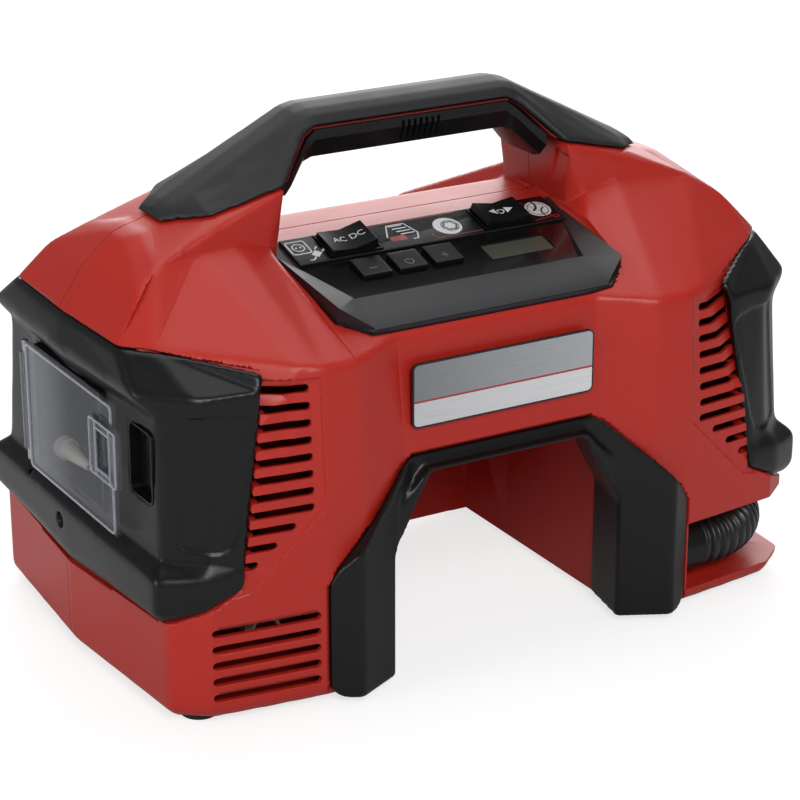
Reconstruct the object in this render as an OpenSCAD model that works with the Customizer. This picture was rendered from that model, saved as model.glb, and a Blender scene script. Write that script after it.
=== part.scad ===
// Portable air compressor: a bridge-shaped housing with a piston pump in its
// left block, a blower in its right block, a handle over the top and a tunnel
// below. X runs along the length, the front faces -Y and Z is up. The origin is
// on the ground below the middle. Heights in the modules are above the
// housing's underside; lift() sets it on its rubber feet.

/* [Body] */
// Length of the housing over its bowed ends
body_l = 376; // [370:1:382]
// Depth of the housing over its front and rear bands
body_d = 235; // [231:1:239]
// Height of the roof's edge at the ends
eave_z = 177; // [175:1:179]
// Height that the roof rises from its edge to its break
roof_rise = 19; // [16:1:22]
// Half width of the middle face that carries the badge
face_half = 57; // [55:0.5:59]
// Distance that the middle face is set back behind the bands
face_set = 13; // [11:0.5:15]
// Thickness of the moulded walls
wall = 2.8; // [2.2:0.1:3.2]
// Distance of the joint between the two shells from the middle
split_y = 4; // [2:0.5:6]
// Height of the rubber feet below the housing
foot_h = 3.5; // [2.5:0.5:5]
// Radius of a rubber foot
foot_r = 10; // [8:0.5:12]

/* [Tunnel] */
// Clear width of the tunnel between the legs
tunnel_w = 146; // [142:1:150]
// Clear height of the tunnel
tunnel_h = 106; // [102:1:108]
// Depth of the tunnel's rear wall behind the middle
web_y = 47; // [45:0.5:49]
// Thickness of the tunnel's rear wall
web_t = 5; // [4:0.5:6]
// Half width of the battery bay
bay_half = 60; // [58:0.5:62]
// Wall thickness of the arch trim
trim_t = 3; // [2.5:0.1:4]
// Distance that the arch trim's ridge stands in front of the bands
trim_proud = 8; // [6:0.5:9]

/* [End frames] */
// Wall thickness of the end frames
frame_t = 3.2; // [2.8:0.1:3.6]
// Height of the lower rim's bottom edge at the end
rim_z = 46; // [45:0.5:48]
// Clearance between neighbouring mouldings
fit_gap = 0.3; // [0.2:0.05:0.4]

/* [Door] */
// Half width of the accessory compartment
tray_half = 36; // [34:0.5:38]
// Depth of the accessory compartment
tray_depth = 30; // [26:1:32]
// Thickness of the clear door
door_t = 2; // [1.6:0.1:2.4]

/* [Handle] */
// Height of the handle's top above the housing's underside
handle_z = 263; // [260:0.5:266]
// Half length of the straight grip
grip_half = 58; // [55:0.5:60]
// Height of the grip's cross-section
grip_h = 27; // [25:0.5:29]
// Half width of the grip
grip_w = 17; // [16:0.5:18]

/* [Control panel] */
// Half width of the panel at its front edge
panel_front = 68; // [66:0.5:70]
// Half width of the panel at its back edge
panel_back = 83; // [82:0.5:84]
// Length of the panel up the slope
panel_len = 84; // [83:0.5:85]
// Length of a rocker switch
rocker_l = 27; // [25:0.5:29]
// Width of a rocker switch
rocker_w = 18; // [16:0.5:18.5]
// Angle between a rocker's end positions and its middle
rocker_tilt = 7; // [5:0.5:8]
// Side of a push button
button_l = 16; // [15:0.5:17]
// Travel of a push button
button_travel = 1.2; // [0.8:0.1:1.4]

/* [Hose] */
// Outer diameter of the corrugated hose over its ribs
hose_od = 27; // [25:0.5:28]
// Diameter of the hose between its ribs
hose_id = 22; // [20:0.5:23]
// Spacing of the hose's ribs
rib_pitch = 5.5; // [5:0.5:8]
// Height of the groove that stores the hose
groove_h = 37; // [35:0.5:38]
// Depth of the groove from the housing's side
groove_in = 32; // [31:0.5:33]
// Thickness of the floor below the hose
groove_floor = 8; // [7:0.5:9]

/* [Pump] */
// Radius of the pump motor's can
motor_r = 18; // [16:0.5:19]
// Length of the pump motor's can
motor_l = 58; // [54:1:60]
// Teeth on the motor's pinion
pinion_n = 12; // [10:1:13]
// Teeth on the crank gear
gear_n = 48; // [46:1:50]
// Module of the gear teeth
gear_m = 1; // [0.9:0.05:1]
// Radius of the crank pin's circle
throw_r = 6; // [5:0.5:6]
// Radius of the pump's piston
piston_r = 15; // [14:0.5:16]
// Radius of the crank pin
crankpin_r = 3; // [2.5:0.5:3]

/* [Blower] */
// Radius of the blower's impeller
impeller_r = 36; // [33:1:38]
// Blades on the impeller
blade_n = 12; // [8:1:14]

/* [Hidden] */
$fn = 48;
hx = body_l / 2;
hy = body_d / 2;
band_in = face_half + 29;
band_out = band_in + 18;

// Sets the housing on its feet and its bounding box over the origin.
module lift() {
    translate([0, trim_proud / 2, foot_h]) children();
}

// ---- outlines -----------------------------------------------------------
// Each list holds the front right quarter of the housing's outline, from the
// middle of the front to the middle of the end.

function foot_line(z) = [
    [0, -(hy - face_set), z], [face_half - 1, -(hy - face_set), z],
    [band_in - 1, -(hy - 0.8), z], [band_out, -hy, z], [hx - 54, -(hy - 3.5), z],
    [hx - 24, -(hy - 7.5), z], [hx - 7, -(hy - 20.5), z], [hx, 0, z]];

function eave_line() = [
    [0, -(hy - face_set - 6), eave_z - 5], [face_half, -(hy - face_set - 6), eave_z - 5],
    [band_in, -(hy - 4.5), eave_z - 8], [band_out, -(hy - 4), eave_z - 8],
    [band_out + 11, -(hy - 7.5), eave_z - 6.5], [hx - 17, -(hy - 44.5), eave_z],
    [hx - 4, -(hy - 57.5), eave_z], [hx - 2, 0, eave_z]];

function roof_line() = [
    [0, -14.6, eave_z + 20.6], [panel_back, -14.6, eave_z + 20.6],
    [panel_back + 9, -36, eave_z + 27], [panel_back + 28, -33, eave_z + 34],
    [panel_back + 47, -37, eave_z + 32], [hx - 34.4, -41.5, eave_z + 28.8],
    [hx - 20, -52, eave_z + roof_rise], [hx - 16, 0, eave_z + roof_rise + 2]];

function crest_line() = [
    [0, -2, eave_z + 21], [panel_back, -2, eave_z + 21],
    [panel_back + 9, -12, eave_z + 30], [panel_back + 28, -14, eave_z + 39],
    [panel_back + 47, -13, eave_z + 39], [hx - 40, -12, eave_z + 37],
    [hx - 32, -8, eave_z + 34], [hx - 30, 0, eave_z + 33]];

function flip_y(q) = [for (p = q) [p[0], -p[1], p[2]]];
function flip_x(q) = [for (p = q) [-p[0], p[1], p[2]]];
function back(q) = [for (i = [len(q) - 1:-1:0]) q[i]];
function tail(q) = [for (i = [1:len(q) - 1]) q[i]];
function head(q) = [for (i = [0:len(q) - 2]) q[i]];

// Full ring, counter-clockwise from above: front right, rear right, rear left,
// front left.
function ring(f, r) = concat(f, tail(back(r)), tail(flip_x(r)), tail(head(back(flip_x(f)))));

function rear_quarter(f, y, z, dx) = concat(
    [[0, y, z], [bay_half + dx, y, z], [bay_half + dx + 6, -f[2][1], f[2][2]]],
    [for (i = [3:7]) [f[i][0], -f[i][1], f[i][2]]]);

bay_y = web_y + web_t;

function shell_rings() = let (
    low = foot_line(5), high = foot_line(110), eave = eave_line(),
    roof = roof_line(), crest = crest_line())
    [inset(ring(foot_line(0), rear_quarter(foot_line(0), bay_y, 0, 0)), 4),
     ring(low, rear_quarter(low, bay_y, 5, 0)),
     ring(high, rear_quarter(high, bay_y, 110, 0)),
     ring(eave, rear_quarter(eave, bay_y - 2, eave_z - 5, 0)),
     ring(roof, rear_quarter(roof, 28, eave_z + 20.6, panel_back - bay_half)),
     ring(crest, rear_quarter(crest, 26, eave_z + 21, panel_back - bay_half))];

// ---- helpers ------------------------------------------------------------

function unit(v) = v / norm(v);
function left_of(a, b) = let (d = unit([b[0] - a[0], b[1] - a[1]])) [-d[1], d[0]];

// Moves a closed ring's points inwards by t; the ring runs counter-clockwise.
function inset(p, t) = let (n = len(p)) [for (i = [0:n - 1]) let (
    n1 = left_of(p[(i + n - 1) % n], p[i]), n2 = left_of(p[i], p[(i + 1) % n]),
    m = (n1 + n2) / (1 + n1 * n2))
    [p[i][0] + t * m[0], p[i][1] + t * m[1], p[i][2]]];

// Moves an open line's points to its left by t.
function shifted(p, t) = let (n = len(p)) [for (i = [0:n - 1]) let (
    n1 = left_of(p[max(i, 1) - 1], p[max(i, 1)]),
    n2 = left_of(p[min(i, n - 2)], p[min(i, n - 2) + 1]),
    m = (n1 + n2) / (1 + n1 * n2))
    [p[i][0] + t * m[0], p[i][1] + t * m[1], p[i][2]]];

function lowered(p, t) = [for (q = p) [q[0], q[1], q[2] - t]];

// Skin of triangles through equal rings, closed at both ends by the caps.
module loft(rings, cap) {
    n = len(rings[0]);
    m = len(rings);
    sides = [for (j = [0:m - 2], i = [0:n - 1]) let (
        a = j * n + i, b = j * n + (i + 1) % n, c = b + n, d = a + n)
        each [[a, c, b], [a, d, c]]];
    bottom = [for (f = cap) f];
    top = [for (f = cap) [for (k = [len(f) - 1:-1:0]) f[k] + (m - 1) * n]];
    polyhedron([for (r = rings) each r], concat(sides, bottom, top));
}

// Caps for a ring made by ring(): strips between the front and the rear.
function strip_cap() = concat(
    [for (i = [0:5]) each [[i, i + 1, 14 - i], [i + 1, 13 - i, 14 - i]]], [[6, 7, 8]],
    [for (i = [0:5]) each [[(28 - i) % 28, 14 + i, 27 - i], [27 - i, 14 + i, 15 + i]]],
    [[22, 20, 21]]);

module shell_solid(t) {
    rings = shell_rings();
    loft([for (j = [0:5]) let (r = t > 0 ? inset(rings[j], t) : rings[j])
        j == 0 ? lowered(r, -t) : (j < 2 ? lowered(r, -t / 2) :
        (j == 3 ? lowered(r, t * 0.6) : (j > 3 ? lowered(r, t * 1.3) : r)))],
        strip_cap());
}

// Skin between an outer and an inner sheet of equal rows, closed all round.
module sheet_solid(outside, inside) {
    n = len(outside[0]);
    m = len(outside);
    k = n * m;
    skins = [for (j = [0:m - 2], i = [0:n - 2]) let (
        a = j * n + i, b = a + 1, c = b + n, d = a + n)
        each [[a, c, b], [a, d, c], [k + a, k + b, k + c], [k + a, k + c, k + d]]];
    t = (m - 1) * n;
    rims = [for (i = [0:n - 2]) each [[i, i + 1, k + i + 1], [i, k + i + 1, k + i],
        [t + i, k + t + i + 1, t + i + 1], [t + i, k + t + i, k + t + i + 1]]];
    edges = [for (j = [0:m - 2]) let (a = j * n, d = a + n, e = a + n - 1, f = e + n)
        each [[k + a, k + d, d], [k + a, d, a], [k + e, f, k + f], [k + e, e, f]]];
    polyhedron(concat([for (r = outside) each r], [for (r = inside) each r]),
        concat(skins, rims, edges));
}

// Convex solid over a list of points.
module hull_of(points) {
    hull() polyhedron(points, [for (i = [0:len(points) - 3]) [0, i + 1, i + 2]]);
}

module along_y(y0, y1) {
    translate([0, y1, 0]) rotate([90, 0, 0]) linear_extrude(y1 - y0) children();
}

module rod_x(x0, x1, y, z, r) {
    translate([x0, y, z]) rotate([0, 90, 0]) cylinder(r = r, h = x1 - x0);
}

module rod_y(x, y0, y1, z, r) {
    translate([x, y1, z]) rotate([90, 0, 0]) cylinder(r = r, h = y1 - y0);
}

module box(x0, x1, y0, y1, z0, z1) {
    translate([x0, y0, z0]) cube([x1 - x0, y1 - y0, z1 - z0]);
}

// ---- end frames ---------------------------------------------------------

function frame_path(a, b, c, d) = concat([a, b, c, d], back(flip_y([a, b, c])));

// Levels of a right end frame's outer skin from its rim to the roof's edge; g
// grows it at its edges.
function frame_levels(g) = [
    frame_path([hx - 40 - g, -(hy - 4.2), rim_z + 20 - g],
        [hx - 22, -(hy - 7.5), rim_z + 11 - g], [hx - 6, -(hy - 21.5), rim_z + 4 - g],
        [hx - 1, 0, rim_z - g]),
    frame_path([hx - 41 - g, -(hy - 4.2), rim_z + 24], [hx - 21.6, -(hy - 7.2), rim_z + 16],
        [hx - 0.5, -(hy - 18.5), rim_z + 10], [hx + 1.2, 0, rim_z + 6]),
    frame_path([hx - 41.5 - g, -(hy - 4.7), rim_z + 30], [hx - 21.6, -(hy - 7.2), rim_z + 28],
        [hx - 0.5, -(hy - 18.5), rim_z + 28], [hx + 1.5, 0, rim_z + 29.5]),
    frame_path([hx - 42 - g, -(hy - 5.5), rim_z + 36], [hx - 26, -(hy - 10.5), rim_z + 35],
        [hx - 8, -(hy - 26.5), rim_z + 34], [hx - 5, 0, rim_z + 34]),
    frame_path([hx - 53 - g, -(hy - 9), eave_z - 25], [hx - 28, -(hy - 14.5), eave_z - 28],
        [hx - 10, -(hy - 31.5), eave_z - 29], [hx - 5.5, 0, eave_z - 29]),
    frame_path([hx - 54 - g, -(hy - 9.5), eave_z - 16], [hx - 22, -(hy - 15.5), eave_z - 17],
        [hx, -(hy - 34.5), eave_z - 17], [hx + 3, 0, eave_z - 17]),
    frame_path([hx - 57 - g, -(hy - 11.5), eave_z - 9 + g],
        [hx - 17, -(hy - 44.5), eave_z - 0.5 + g], [hx - 4, -(hy - 57.5), eave_z + g],
        [hx - 2.5, 0, eave_z + g])];

module frame_shell(out, in, g) {
    rows = frame_levels(g);
    sheet_solid([for (r = rows) shifted(r, -out)], [for (r = rows) shifted(r, in)]);
}

// Room that an end frame and the wall behind it take from the housing.
module frame_room(wall_in) {
    for (m = [0, 1])
        mirror([m, 0, 0])
            frame_shell(15, frame_t + 0.3 + fit_gap + wall_in, fit_gap + wall_in);
}

frame_screw_z = rim_z + 20;
frame_screw_y = [7];

module frame_holes() {
    for (y = frame_screw_y) {
        rod_x(hx - 30, hx + 9, y, frame_screw_z, 1.9);
        rod_x(hx - 1.8, hx + 9, y, frame_screw_z, 4);
    }
}

module end_frame() {
    difference() {
        frame_shell(0, frame_t, 0);
        frame_holes();
    }
}

// ---- tunnel, trim and groove --------------------------------------------

module tunnel_shape(d) {
    w = tunnel_w / 2 - d;
    h = tunnel_h - d;
    polygon([[-w, -9], [-w, h - 28], [27 - w, h], [w - 27, h], [w, h - 28], [w, -9]]);
}

module trim_outline(g) {
    w = band_out + 0.7 + g;
    h = tunnel_h + 5.5 + g;
    polygon([[-w, -9], [-w, 60], [-w + 4.7, 68], [-80 - g, 88], [-57 - g, h - 2.5],
        [-52 - g, h], [52 + g, h], [57 + g, h - 2.5], [80 + g, 88], [w - 4.7, 68],
        [w, 60], [w, -9]]);
}

// Plan of everything in front of the trim's rear face; g moves it to the rear.
module trim_plan(g) {
    y1 = -(hy - face_set - trim_t - g);
    y2 = -(hy - trim_t - g);
    polygon([[-130, -140], [130, -140], [130, y2], [80, y2], [73, y2 + 3], [50, y1],
        [-50, y1], [-73, y2 + 3], [-80, y2], [-130, y2]]);
}

// Plan of the trim's ridged front face.
module trim_front() {
    y1 = -(hy - face_set + 0.4);
    polygon([[-(band_out + 0.7), -hy], [-91, -(hy + trim_proud)], [-66, -(hy - 4.5)], [-52, y1],
        [52, y1], [66, -(hy - 4.5)], [91, -(hy + trim_proud)], [band_out + 0.7, -hy],
        [band_out + 0.7, -60], [-(band_out + 0.7), -60]]);
}

module trim_seat(g) {
    intersection() {
        along_y(-140, -90) trim_outline(fit_gap + g);
        translate([0, 0, -10]) linear_extrude(140) trim_plan(fit_gap + g);
    }
}

function throat_ring(y, w, h) = [[w, y, -9], [w, y, h - 38.6], [w - 6, y, h - 28.6],
    [w - 21, y, h], [-(w - 21), y, h], [-(w - 6), y, h - 28.6], [-w, y, h - 38.6],
    [-w, y, -9]];

// Passage through the trim, which widens towards the tunnel behind it.
module throat() {
    w1 = tunnel_w / 2 - 8;
    w2 = tunnel_w / 2 - 1.4;
    h1 = tunnel_h - 2.6;
    rings = [throat_ring(-140, w1, h1), throat_ring(-(hy - 4), w1, h1),
        throat_ring(-79, w2, tunnel_h - 1.2)];
    n = 8;
    polyhedron([for (r = rings) each r], concat(
        [for (j = [0, 1], i = [0:n - 1]) let (
            a = j * n + i, b = j * n + (i + 1) % n, c = b + n, d = a + n)
            each [[a, b, c], [a, c, d]]],
        [[for (i = [n - 1:-1:0]) i]], [[for (i = [0:n - 1]) 2 * n + i]]));
}

module groove_plan(d) {
    x = hx - groove_in - d;
    y = hy - groove_in - d;
    difference() {
        polygon([[band_out + 2 - d, -hy - 30], [hx + 42, -hy - 30], [hx + 42, hy + 30],
            [band_out + 2 - d, hy + 30]]);
        polygon([[60, -y], [x - 27, -y], [x - 18.5, -y + 2.5], [x - 9.5, -y + 9.5],
            [x - 2.5, -y + 18.5], [x, -y + 28.5], [x, y - 28.5], [x - 2.5, y - 18.5],
            [x - 9.5, y - 9.5], [x - 18.5, y - 2.5], [x - 27, y], [60, y]]);
    }
}

module groove(d) {
    translate([0, 0, groove_floor - d]) linear_extrude(groove_h + 2 * d) groove_plan(d);
}

// ---- control panel's place ----------------------------------------------

panel_y = -(hy - face_set - 8.5);
panel_z = eave_z - 2;
panel_tilt = atan2(22.6, -14.6 - panel_y);

module on_panel() {
    translate([0, panel_y, panel_z]) rotate([panel_tilt, 0, 0]) children();
}

module panel_plan(g) {
    polygon([[-panel_front - g, -g], [panel_front + g, -g], [panel_back - 2 + g, 12.6],
        [panel_back + g, panel_len + g], [-panel_back - g, panel_len + g],
        [-panel_back + 2 - g, 12.6]]);
}

module panel_prism(g, z0, z1) {
    on_panel() translate([0, 0, z0]) linear_extrude(z1 - z0) panel_plan(g);
}

// ---- housing ------------------------------------------------------------

post_spots = [[83, 18, -(hy - 4.6), hy - 1.5], [86, 140, -(hy - 5), hy - 3.6],
    [40, 120, -(hy - face_set - 1.4), bay_y - 1.4]];

module pillars(t) {
    for (m = [0, 1]) mirror([m, 0, 0]) hull_of([
        [81 + t, -34 + t, foot_z + 12.3 - t], [81 + t, 34 - t, foot_z + 12.3 - t],
        [121, -30 + t, foot_z + 2.3 - t], [121, 30 - t, foot_z + 2.3 - t],
        [137 - t, -13, foot_z - 1.7 - t], [137 - t, 13, foot_z - 1.7 - t],
        [hx - 34.4 - t, -41.5 + t, eave_z + 28.8 - t], [hx - 34.4 - t, 41.5 - t, eave_z + 28.8 - t],
        [panel_back + 9 + t, -36 + t, eave_z + 23], [panel_back + 9 + t, 36 - t, eave_z + 23],
        [84 + t, -30 + t, eave_z + 19], [84 + t, 30 - t, eave_z + 19],
        [146 - t, -4, foot_z - 4.7 - t], [146 - t, 4, foot_z - 4.7 - t]]);
}

module cavity() {
    difference() {
        union() {
            shell_solid(wall);
            pillars(wall);
        }
        along_y(-150, bay_y + 1) tunnel_shape(-wall);
        groove(wall);
        frame_room(wall);
        trim_seat(wall);
        panel_prism(3, -7, 30);
    }
    panel_window(-20);
}

module panel_window(z0) {
    on_panel() translate([-64, 8, z0]) cube([128, 75, 40]);
}

module housing_posts(r) {
    for (m = [-1, 1], p = post_spots) rod_y(m * p[0], p[2], p[3], p[1], r);
}

field_depth = 1;

slot_r = 2;

// Slot through the front wall, with a round end at x0.
module slot(x0, x1, y0, y1, z) {
    box(x0 + slot_r, x1, y0, y1, z - slot_r, z + slot_r);
    rod_y(x0 + slot_r, y0, y1, z, slot_r);
}

module louvres() {
    for (i = [0:10]) let (x0 = i < 8 ? 111 : 111 + (i - 7) * 9.5)
        slot(x0, 137 + i * 1.1, -(hy + 2), -(hy - 26), 160 - 8.3 * i);
}

// Shallow fields round the louvres, which follow the housing's skin.
module louvre_fields() {
    difference() {
        for (m = [0, 1], n = [0, 1]) mirror([m, 0, 0]) mirror([0, n, 0])
            along_y(-(hy + 3), -(hy - 26)) polygon([[106.5, 164.5], [106.5, 101], [143, 64],
                [152, 62], [150, 164.5]]);
        shell_solid(field_depth);
    }
}

module base_vents() {
    for (i = [0:4]) {
        slot(-163.5, -109 - slot_r, -(hy + 2), -96, 12 + 8.4 * i);
        rod_y(-109 - slot_r, -(hy + 2), -96, 12 + 8.4 * i, slot_r);
    }
}

module foot_spots() {
    for (x = [-1, 1], y = [-1, 1]) translate([x * (hx - 26), y * (hy - 27), 0]) children();
}

module housing_whole() {
    difference() {
        union() {
            difference() {
                union() {
                    shell_solid(0);
                    pillars(0);
                }
                cavity();
            }
            housing_posts(4.5);
            for (z = [gland_z, socket_z]) rod_y(inlet_x, hy - 6, hy - 2, z, 9);
            for (m = [0, 1], y = frame_screw_y) mirror([m, 0, 0])
                rod_x(hx - 15, hx - 4, y, frame_screw_z, 4.5);
        }
        along_y(-150, web_y) tunnel_shape(0);
        groove(0);
        frame_room(0);
        trim_seat(0);
        panel_prism(fit_gap, -3 - fit_gap, 30);
        for (m = [0, 1]) mirror([m, 0, 0]) {
            for (n = [0, 1]) mirror([0, n, 0]) louvres();
            for (y = frame_screw_y) rod_x(hx - 16, hx, y, frame_screw_z, 1.8);
        }
        louvre_fields();
        base_vents();
        foot_spots() translate([0, 0, -1]) cylinder(r = foot_r + 0.1, h = 2.5);
        tray_room(0.3);
        badge_seat();
        for (s = [-1, 1]) rod_x(band_out - 6, band_out + 6, s * hose_y, hose_z, spigot_r + 0.2);
        rod_y(inlet_x, hy - 17.5, hy + 12.5, gland_z, 5.2);
        rod_y(inlet_x, hy - 2, hy + 12.5, gland_z, 7.7);
        rod_y(inlet_x, hy - 17.5, hy + 12.5, socket_z, 4.2);
        rod_y(inlet_x, hy - 2, hy + 12.5, socket_z, 6.2);
    }
}

module badge_seat() {
    y = -(hy - face_set);
    box(-52.3, 52.3, y - 3, y + 1, 124.7, 158.3);
}

module front_housing() {
    color("firebrick") lift() difference() {
        housing_whole();
        box(-300, 300, split_y, 300, -5, 300);
        for (m = [-1, 1], p = post_spots) rod_y(m * p[0], split_y - 18, split_y + 1, p[1], 1.8);
    }
}

module rear_housing() {
    color("firebrick") lift() difference() {
        housing_whole();
        box(-300, 300, -300, split_y, -5, 300);
        for (m = [-1, 1], p = post_spots) {
            rod_y(m * p[0], split_y - 1, hy + 5, p[1], 1.9);
            rod_y(m * p[0], split_y + 10, hy + 5, p[1], 3.8);
        }
    }
}

module housing_screws() {
    color("silver") lift() for (m = [-1, 1], p = post_spots) {
        rod_y(m * p[0], split_y - 15, split_y + 10, p[1], 1.7);
        rod_y(m * p[0], split_y + 10, split_y + 12.6, p[1], 3.4);
    }
}

module frame_screws() {
    color("silver") lift() for (m = [0, 1], y = frame_screw_y) mirror([m, 0, 0]) {
        rod_x(hx - 14, hx - 1.7, y, frame_screw_z, 1.7);
        rod_x(hx - 1.7, hx - 0.2, y, frame_screw_z, 3.6);
    }
}

module rubber_feet() {
    color("black") translate([0, trim_proud / 2, 0]) foot_spots() {
        cylinder(r1 = foot_r - 1, r2 = foot_r, h = 1);
        translate([0, 0, 1]) cylinder(r = foot_r, h = foot_h + 0.4);
    }
}

module front_arch_trim() {
    color("dimgray") lift() difference() {
        union() {
            intersection() {
                along_y(-140, -90) difference() {
                    trim_outline(0);
                    translate([-150, -10]) square([300, 10]);
                }
                translate([0, 0, -10]) linear_extrude(140) intersection() {
                    trim_plan(0);
                    trim_front();
                }
            }
            along_y(-(hy - 6), -80) intersection() {
                tunnel_shape(fit_gap);
                translate([-100, 0]) square([200, 130]);
            }
        }
        throat();
        for (m = [0, 1]) mirror([m, 0, 0]) translate([0, 0, 4]) linear_extrude(54) polygon([
            [75.5, -(hy - 2)], [91, -(hy + trim_proud - 3.6)], [band_out - 2.6, -(hy - 2)],
            [band_out - 2.6, -(hy - 5)], [75.5, -(hy - 5)]]);
    }
}

module badge_plate() {
    y = -(hy - face_set);
    color("gray") lift() box(-52, 52, y - 0.6, y + 0.7, 125, 158);
}

// ---- accessory compartment ----------------------------------------------

tray_z0 = rim_z + 38;
tray_z1 = eave_z - 31;
tray_x = -(hx - 5);
hinge_y = 50;
pin_r = 1.5;
outlet_y = -24;
outlet_z = tray_z1 - 12;

module tray_room(g) {
    box(tray_x - 20, tray_x + tray_depth + 2 + g, 5 - tray_half - 4 - g, 5 + tray_half + 4 + g,
        tray_z0 - g, tray_z1 + g);
}

module outlet_hole() {
    rod_x(tray_x, -130, outlet_y, outlet_z, 4.4);
}

module left_end_frame() {
    color("dimgray") lift() difference() {
        union() {
            mirror([1, 0, 0]) end_frame();
            for (z = [tray_z0 - 1.5, tray_z1 - 3.3])
                box(-hx + 0.5, -hx + 8.5, hinge_y - 3.5, hinge_y + 3, z, z + 4.8);
        }
        tray_room(0.3);
        translate([-hx + 2.6, hinge_y, 60]) cylinder(r = pin_r + 0.05, h = 100);
        box(-200, -hx + 7.6, -84, -62, 105, 140);
    }
}

module right_end_frame() {
    color("dimgray") lift() end_frame();
}

module accessory_tray() {
    y0 = 5 - tray_half - 4;
    y1 = 5 + tray_half + 4;
    color("darkslategray") lift() difference() {
        box(tray_x, tray_x + tray_depth + 2, y0, y1, tray_z0, tray_z1);
        box(tray_x - 1, tray_x + tray_depth, y0 + 2, y1 - 2, tray_z0 + 2, tray_z1 - 2);
        outlet_hole();
    }
}

module accessory_door() {
    x = -hx + 3;
    color("lightgray") lift() difference() {
        union() {
            box(x - door_t, x, -58, hinge_y - 4.5, tray_z0 - 3, tray_z1 + 2);
            box(x - door_t, x, hinge_y - 5, hinge_y - 1, tray_z0 + 5, tray_z1 - 5);
            translate([-hx + 2.6, hinge_y, tray_z0 + 5])
                cylinder(r = 3, h = tray_z1 - tray_z0 - 10);
            box(x - door_t - 2.4, x - door_t + 0.5, -66, -36, 108, 137);
        }
        translate([-hx + 2.6, hinge_y, 60]) cylinder(r = pin_r + 0.05, h = 100);
        box(x - 10, x - door_t, -58, -45, 113, 132);
    }
}

module door_hinge_pin() {
    color("silver") lift() translate([-hx + 2.6, hinge_y, tray_z0 - 1])
        cylinder(r = pin_r, h = tray_z1 - tray_z0 + 2);
}

module pressure_outlet() {
    x = tray_x + tray_depth;
    color("goldenrod") lift() difference() {
        union() {
            rod_x(x - 22, x + 9, outlet_y, outlet_z, 4);
            translate([x - 6, outlet_y, outlet_z]) rotate([0, 90, 0])
                cylinder(r = 7, h = 5.9, $fn = 6);
            rod_x(x - 21, x - 14, outlet_y, outlet_z, 5);
        }
        rod_x(x - 23, x + 10, outlet_y, outlet_z, 2);
    }
}

module ball_needle() {
    x = tray_x + 20;
    color("silver") lift() translate([x, 30, tray_z0 + 5.8]) rotate([90, 0, 0]) {
        difference() {
            union() {
                cylinder(r = 3.8, h = 10);
                cylinder(r = 1.1, h = 40);
            }
            translate([0, 0, -1]) cylinder(r = 0.5, h = 60);
        }
    }
}

module cone_nozzle() {
    x = tray_x + 10;
    color("ivory") lift() translate([x, 36, tray_z0 + 7.8]) rotate([90, 0, 0]) difference() {
        union() {
            cylinder(r = 5.8, h = 6);
            translate([0, 0, 6]) cylinder(r1 = 5, r2 = 2, h = 26);
        }
        translate([0, 0, -1]) cylinder(r = 1.2, h = 60);
    }
}

// ---- handle -------------------------------------------------------------

// Closed skin through rings of points [y, z] standing at the stations x.
module section_loft(xs, rings) {
    n = len(rings[0]);
    m = len(xs);
    pts = [for (j = [0:m - 1]) each [for (p = rings[j]) [xs[j], p[0], p[1]]]];
    polyhedron(pts, concat(
        [for (j = [0:m - 2], i = [0:n - 1]) let (
            a = j * n + i, b = j * n + (i + 1) % n, c = b + n, d = a + n)
            each [[a, c, b], [a, d, c]]],
        [for (i = [1:n - 2]) [0, i, i + 1]],
        [for (i = [1:n - 2]) let (o = (m - 1) * n) [o, o + i + 1, o + i]]));
}

// Half section of the cover: bottom width, shoulder width and height, top
// width and height, given as a closed ring.
function cover_ring(zb, zt, wb, ws, wt) = let (zs = zb + (zt - zb) * 0.55)
    [[wb, zb], [wb, zb + (zt - zb) * 0.12], [ws, zs], [wt, zt - 1.2], [0, zt], [-wt, zt - 1.2],
     [-ws, zs], [-wb, zb + (zt - zb) * 0.12], [-wb, zb]];

function grip_ring(zt, zb, wt, wb) = [[wb, zb + 2], [wt, zt - 5], [wt, zt], [-wt, zt],
    [-wt, zt - 5], [-wb, zb + 2], [-wb + 6, zb], [wb - 6, zb]];

seam_z = handle_z - 9.5;
foot_z = handle_z - 44.3;

function mirrored(q) = concat([for (i = [len(q) - 1:-1:0]) q[i]], q);

cover_x = [grip_half - 2, grip_half + 4, 81, 100, 121, 132, 138];
cover_rings = [
    cover_ring(seam_z + 0.8, handle_z, grip_w, grip_w - 2, 9),
    cover_ring(seam_z - 3, handle_z - 1.5, grip_w + 1, grip_w - 1, 9.5),
    cover_ring(foot_z + 12.7, handle_z - 11.6, 33, 22, 11),
    cover_ring(foot_z + 7.9, handle_z - 21.4, 32, 22, 12),
    cover_ring(foot_z + 2.7, handle_z - 32.4, 30, 22, 13),
    cover_ring(foot_z, foot_z + 6.3, 18, 15, 11),
    cover_ring(foot_z - 1.5, foot_z + 2.5, 13, 11, 8)];

module handle_cover() {
    color("dimgray") lift() section_loft(
        concat([for (x = back(cover_x)) -x], cover_x), mirrored(cover_rings));
}

module handle_core() {
    t = 1.6;
    xs = [grip_half - 2, grip_half + 4, 78];
    rings = [for (k = [0:2]) let (
        z = [seam_z + 0.8, seam_z - 3, foot_z + 14.9][k] - 0.05,
        w = [grip_w + 0.2, grip_w + 1.2, grip_w + 13][k])
        [[w, z - t], [w, z], [-w, z], [-w, z - t]]];
    color("firebrick") lift() section_loft(
        concat([for (x = back(xs)) -x], xs), mirrored(rings));
}

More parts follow.
